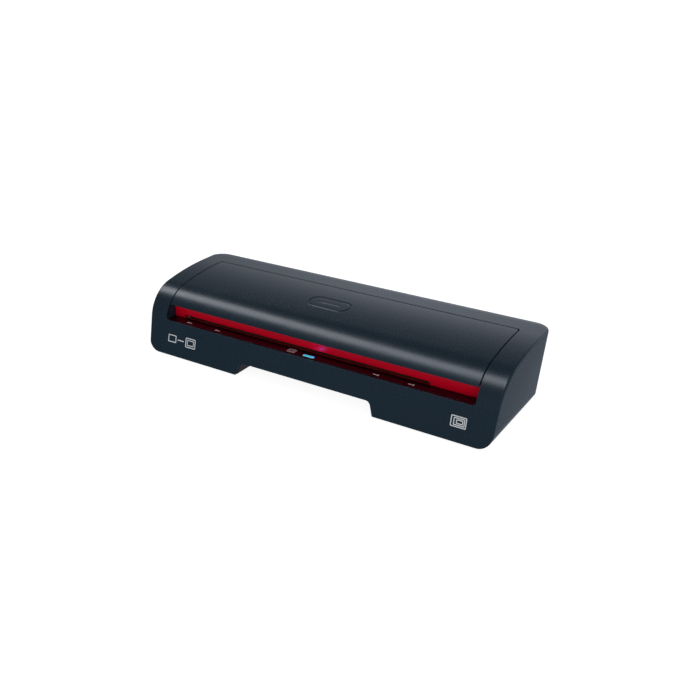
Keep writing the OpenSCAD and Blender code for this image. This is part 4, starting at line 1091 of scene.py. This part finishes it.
@dataclass
class Studio:
    """Floor, lights and camera."""

    lens: float = 44.5
    place: tuple[float, float, float] = (354.8, -543.7, 329.7)
    azimuth: float = 32.1
    elevation: float = 25.56
    roll: float = -0.19
    ceiling: float = 1.5
    ceiling_spread: float = 150.0
    front_fill: float = 0.6
    front_spread: float = 60.0
    strip_aim: tuple[float, float, float] = (-550.0, -33.0, 47.0)
    strip_size: tuple[float, float] = (2.1, 0.32)
    strip_angle: float = 100.0
    strip_slant: float = -17.0
    strip_radiance: float = 9.0
    glow_size: tuple[float, float] = (0.005, 0.0015)
    glow_radiance: float = 25.46

    def camera(self) -> None:
        """Set the camera."""
        data = bpy.data.cameras.new("camera")
        data.lens = self.lens
        data.sensor_width = 36
        data.clip_end = 50
        made = bpy.data.objects.new("camera", data)
        made.location = Vector(self.place) * MM
        level = Euler((math.radians(90 - self.elevation), 0, math.radians(self.azimuth))).to_quaternion()
        made.rotation_euler = (level @ Quaternion((0, 0, 1), math.radians(self.roll))).to_euler()
        bpy.context.scene.collection.objects.link(made)
        bpy.context.scene.camera = made

    def area(
        self, name: str, at: Vector, turn: Quaternion, size: tuple[float, float], radiance: float, hue: str
    ) -> bpy.types.Object:
        """Hang a rectangular soft light.

        Its power is its radiance times pi times its area.

        Args:
            name: the light's name.
            at: its middle, in metres.
            turn: its turn from facing straight down.
            size: its sides, in metres.
            radiance: how bright its face is.
            hue: sRGB hex of its light.

        Returns:
            The light.
        """
        data = bpy.data.lights.new(name, "AREA")
        data.shape = "RECTANGLE"
        data.size, data.size_y = size
        data.energy = radiance * math.pi * size[0] * size[1]
        data.color = srgb(hue)[:3]
        made = bpy.data.objects.new(name, data)
        made.location = at
        made.rotation_euler = turn.to_euler()
        bpy.context.scene.collection.objects.link(made)
        return made

    def floor(self) -> None:
        """Lay a wide light table: matt paper lit softly from below."""
        mesh = bpy.data.meshes.new("floor")
        edge = np.linspace(-14, 14, 9)
        gx, gy = np.meshgrid(edge, edge, indexing="ij")
        points = np.stack([gx, gy, np.zeros_like(gx)], -1).reshape(-1, 3)
        cells, _ = quads(np.ones((8, 8), bool), False)
        mesh.from_pydata(points.tolist(), [], cells.tolist())
        made = bpy.data.objects.new("floor", mesh)
        made.data.materials.append(WARDROBE.give(PAPER))
        bpy.context.scene.collection.objects.link(made)
        made.visible_glossy = False

    def sun(self, name: str, power: float, spread_angle: float, turn: tuple[float, float, float]) -> None:
        """Add a wide soft disc of light that gives no highlight, turned by three angles in degrees."""
        data = bpy.data.lights.new(name, "SUN")
        data.energy = power
        data.angle = math.radians(spread_angle)
        made = bpy.data.objects.new(name, data)
        made.rotation_euler = [math.radians(angle) for angle in turn]
        made.visible_glossy = False
        bpy.context.scene.collection.objects.link(made)

    def world(self) -> None:
        """Surround the set with what the gloss shows: pale low behind, dim overhead and in front."""
        made = bpy.data.worlds.new("studio")
        made.use_nodes = True
        tree = made.node_tree
        tree.nodes.clear()
        way = add_node(tree, "ShaderNodeSeparateXYZ", {0: add_node(tree, "ShaderNodeTexCoord").outputs["Generated"]})
        def ramp(axis: str, values: tuple[float, float, float, float]) -> bpy.types.NodeSocket:
            """Carry a direction's part along an axis from its two ends to two strengths, held beyond them."""
            node = add_node(tree, "ShaderNodeMapRange", {"Value": way.outputs[axis]})
            for key, value in zip((1, 2, 3, 4), values):
                node.inputs[key].default_value = value
            return node.outputs[0]

        factors = [ramp("Z", (0.36, 0.72, 1.0, 0.06)), ramp("Z", (-0.08, 0.05, 0.3, 1.0)),
                   ramp("Y", (-0.2, 0.8, 0.3, 1.35)), ramp("X", (-0.7, -0.45, 0.4, 1.05))]
        power = factors[0]
        for factor in factors[1:]:
            power = add_node(tree, "ShaderNodeMath", {0: power, 1: factor}, operation="MULTIPLY").outputs[0]
        light = add_node(tree, "ShaderNodeBackground", {"Strength": power})
        light.inputs["Color"].default_value = srgb("#e9effb")
        add_node(tree, "ShaderNodeOutputWorld", {"Surface": light.outputs[0]})
        bpy.context.scene.world = made

    def strip(self) -> None:
        """Hang a long soft box over the casing, seen in the gloss as one pale band along the bend."""
        turn = math.radians(self.strip_angle)
        at = Vector(self.strip_aim) * MM + Vector((0, math.cos(turn), math.sin(turn)))
        tilt = Euler((turn - math.pi / 2, 0, 0)).to_quaternion()
        slant = Quaternion((0, 0, 1), math.radians(self.strip_slant))
        made = self.area("bend_strip", at, tilt @ slant, self.strip_size, self.strip_radiance, "#f2f6ff")
        made.visible_diffuse = False

    def glow(self, light: LightPipe, casing: Casing) -> None:
        """Throw the light pipe's violet glow on the red wall behind it."""
        ledge, middle = casing.ledge + casing.form.foot, casing.form.depth / 2
        at = Vector((3.0, light.distance - middle, ledge + 1.2)) * MM
        aim = Vector((6.5, casing.mouth_back - middle, ledge + 5)) * MM
        self.area("pipe_glow", at, (aim - at).to_track_quat("-Z", "Y"), self.glow_size, self.glow_radiance, "#8070ff")

    def build(self, light: LightPipe, casing: Casing) -> None:
        """Set up everything that isn't the laminator."""
        self.camera()
        self.floor()
        self.world()
        self.sun("ceiling", self.ceiling, self.ceiling_spread, (-14, -10, 0))
        self.sun("front_fill", self.front_fill, self.front_spread, (70, 0, 35))
        self.strip()
        self.glow(light, casing)
        bpy.context.scene.view_settings.view_transform = "Standard"


# ------------------------------------------------------------------ assembly


def carry(piece: bpy.types.Object, body: str, slot: str, *nodes: str) -> None:
    """Put a piece on a body in place of its nodes, and report it."""
    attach(piece, body)
    if nodes:
        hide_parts(*nodes)
    LOG.info("%s: %d points", piece.name, len(piece.data.vertices))


def dress(nodes: dict[str, bpy.types.Object]) -> None:
    """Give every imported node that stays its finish."""
    for finish, names in CAD_FINISHES.items():
        for name in names:
            data = nodes[name].data
            data.materials.clear()
            data.materials.append(WARDROBE.give(finish))


def main() -> None:
    """Build the pieces in order, then the studio."""
    logging.basicConfig(level=logging.INFO, format="%(message)s")
    for old in list(bpy.data.objects):
        bpy.data.objects.remove(old)
    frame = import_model()
    dress(frame["nodes"])

    low, high = (np.array(c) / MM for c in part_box("upper_case"))
    form = CasingForm(*(high - low).tolist(), float(low[2]))
    casing = Casing(form)
    light = LightPipe()
    carry(casing.upper_case(), "casing", "shell", "upper_case")
    carry(casing.cover(), "casing", "shell", "top_cover")
    carry(casing.bezel(), "casing", "red", "feed_bezel")
    carry(casing.ledge_plate(light), "casing", "ledge", "feed_ledge")
    carry(light.lens(casing), "casing", "light", "led_lens")
    marks = Marks(casing)
    carry(marks.on_ledge(), "casing", "ledge")
    carry(marks.on_front(), "casing", "shell")
    for name, foot in Feet().build():
        carry(foot, "casing", "foot", name)
    rear = RearFittings(casing)
    carry(rear.switch_frame(), "casing", "black_plastic", "switch_body")
    carry(rear.gland(), "casing", "black_plastic", "cord_gland")

    Studio().build(light, casing)


if __name__ == "__main__":
    main()
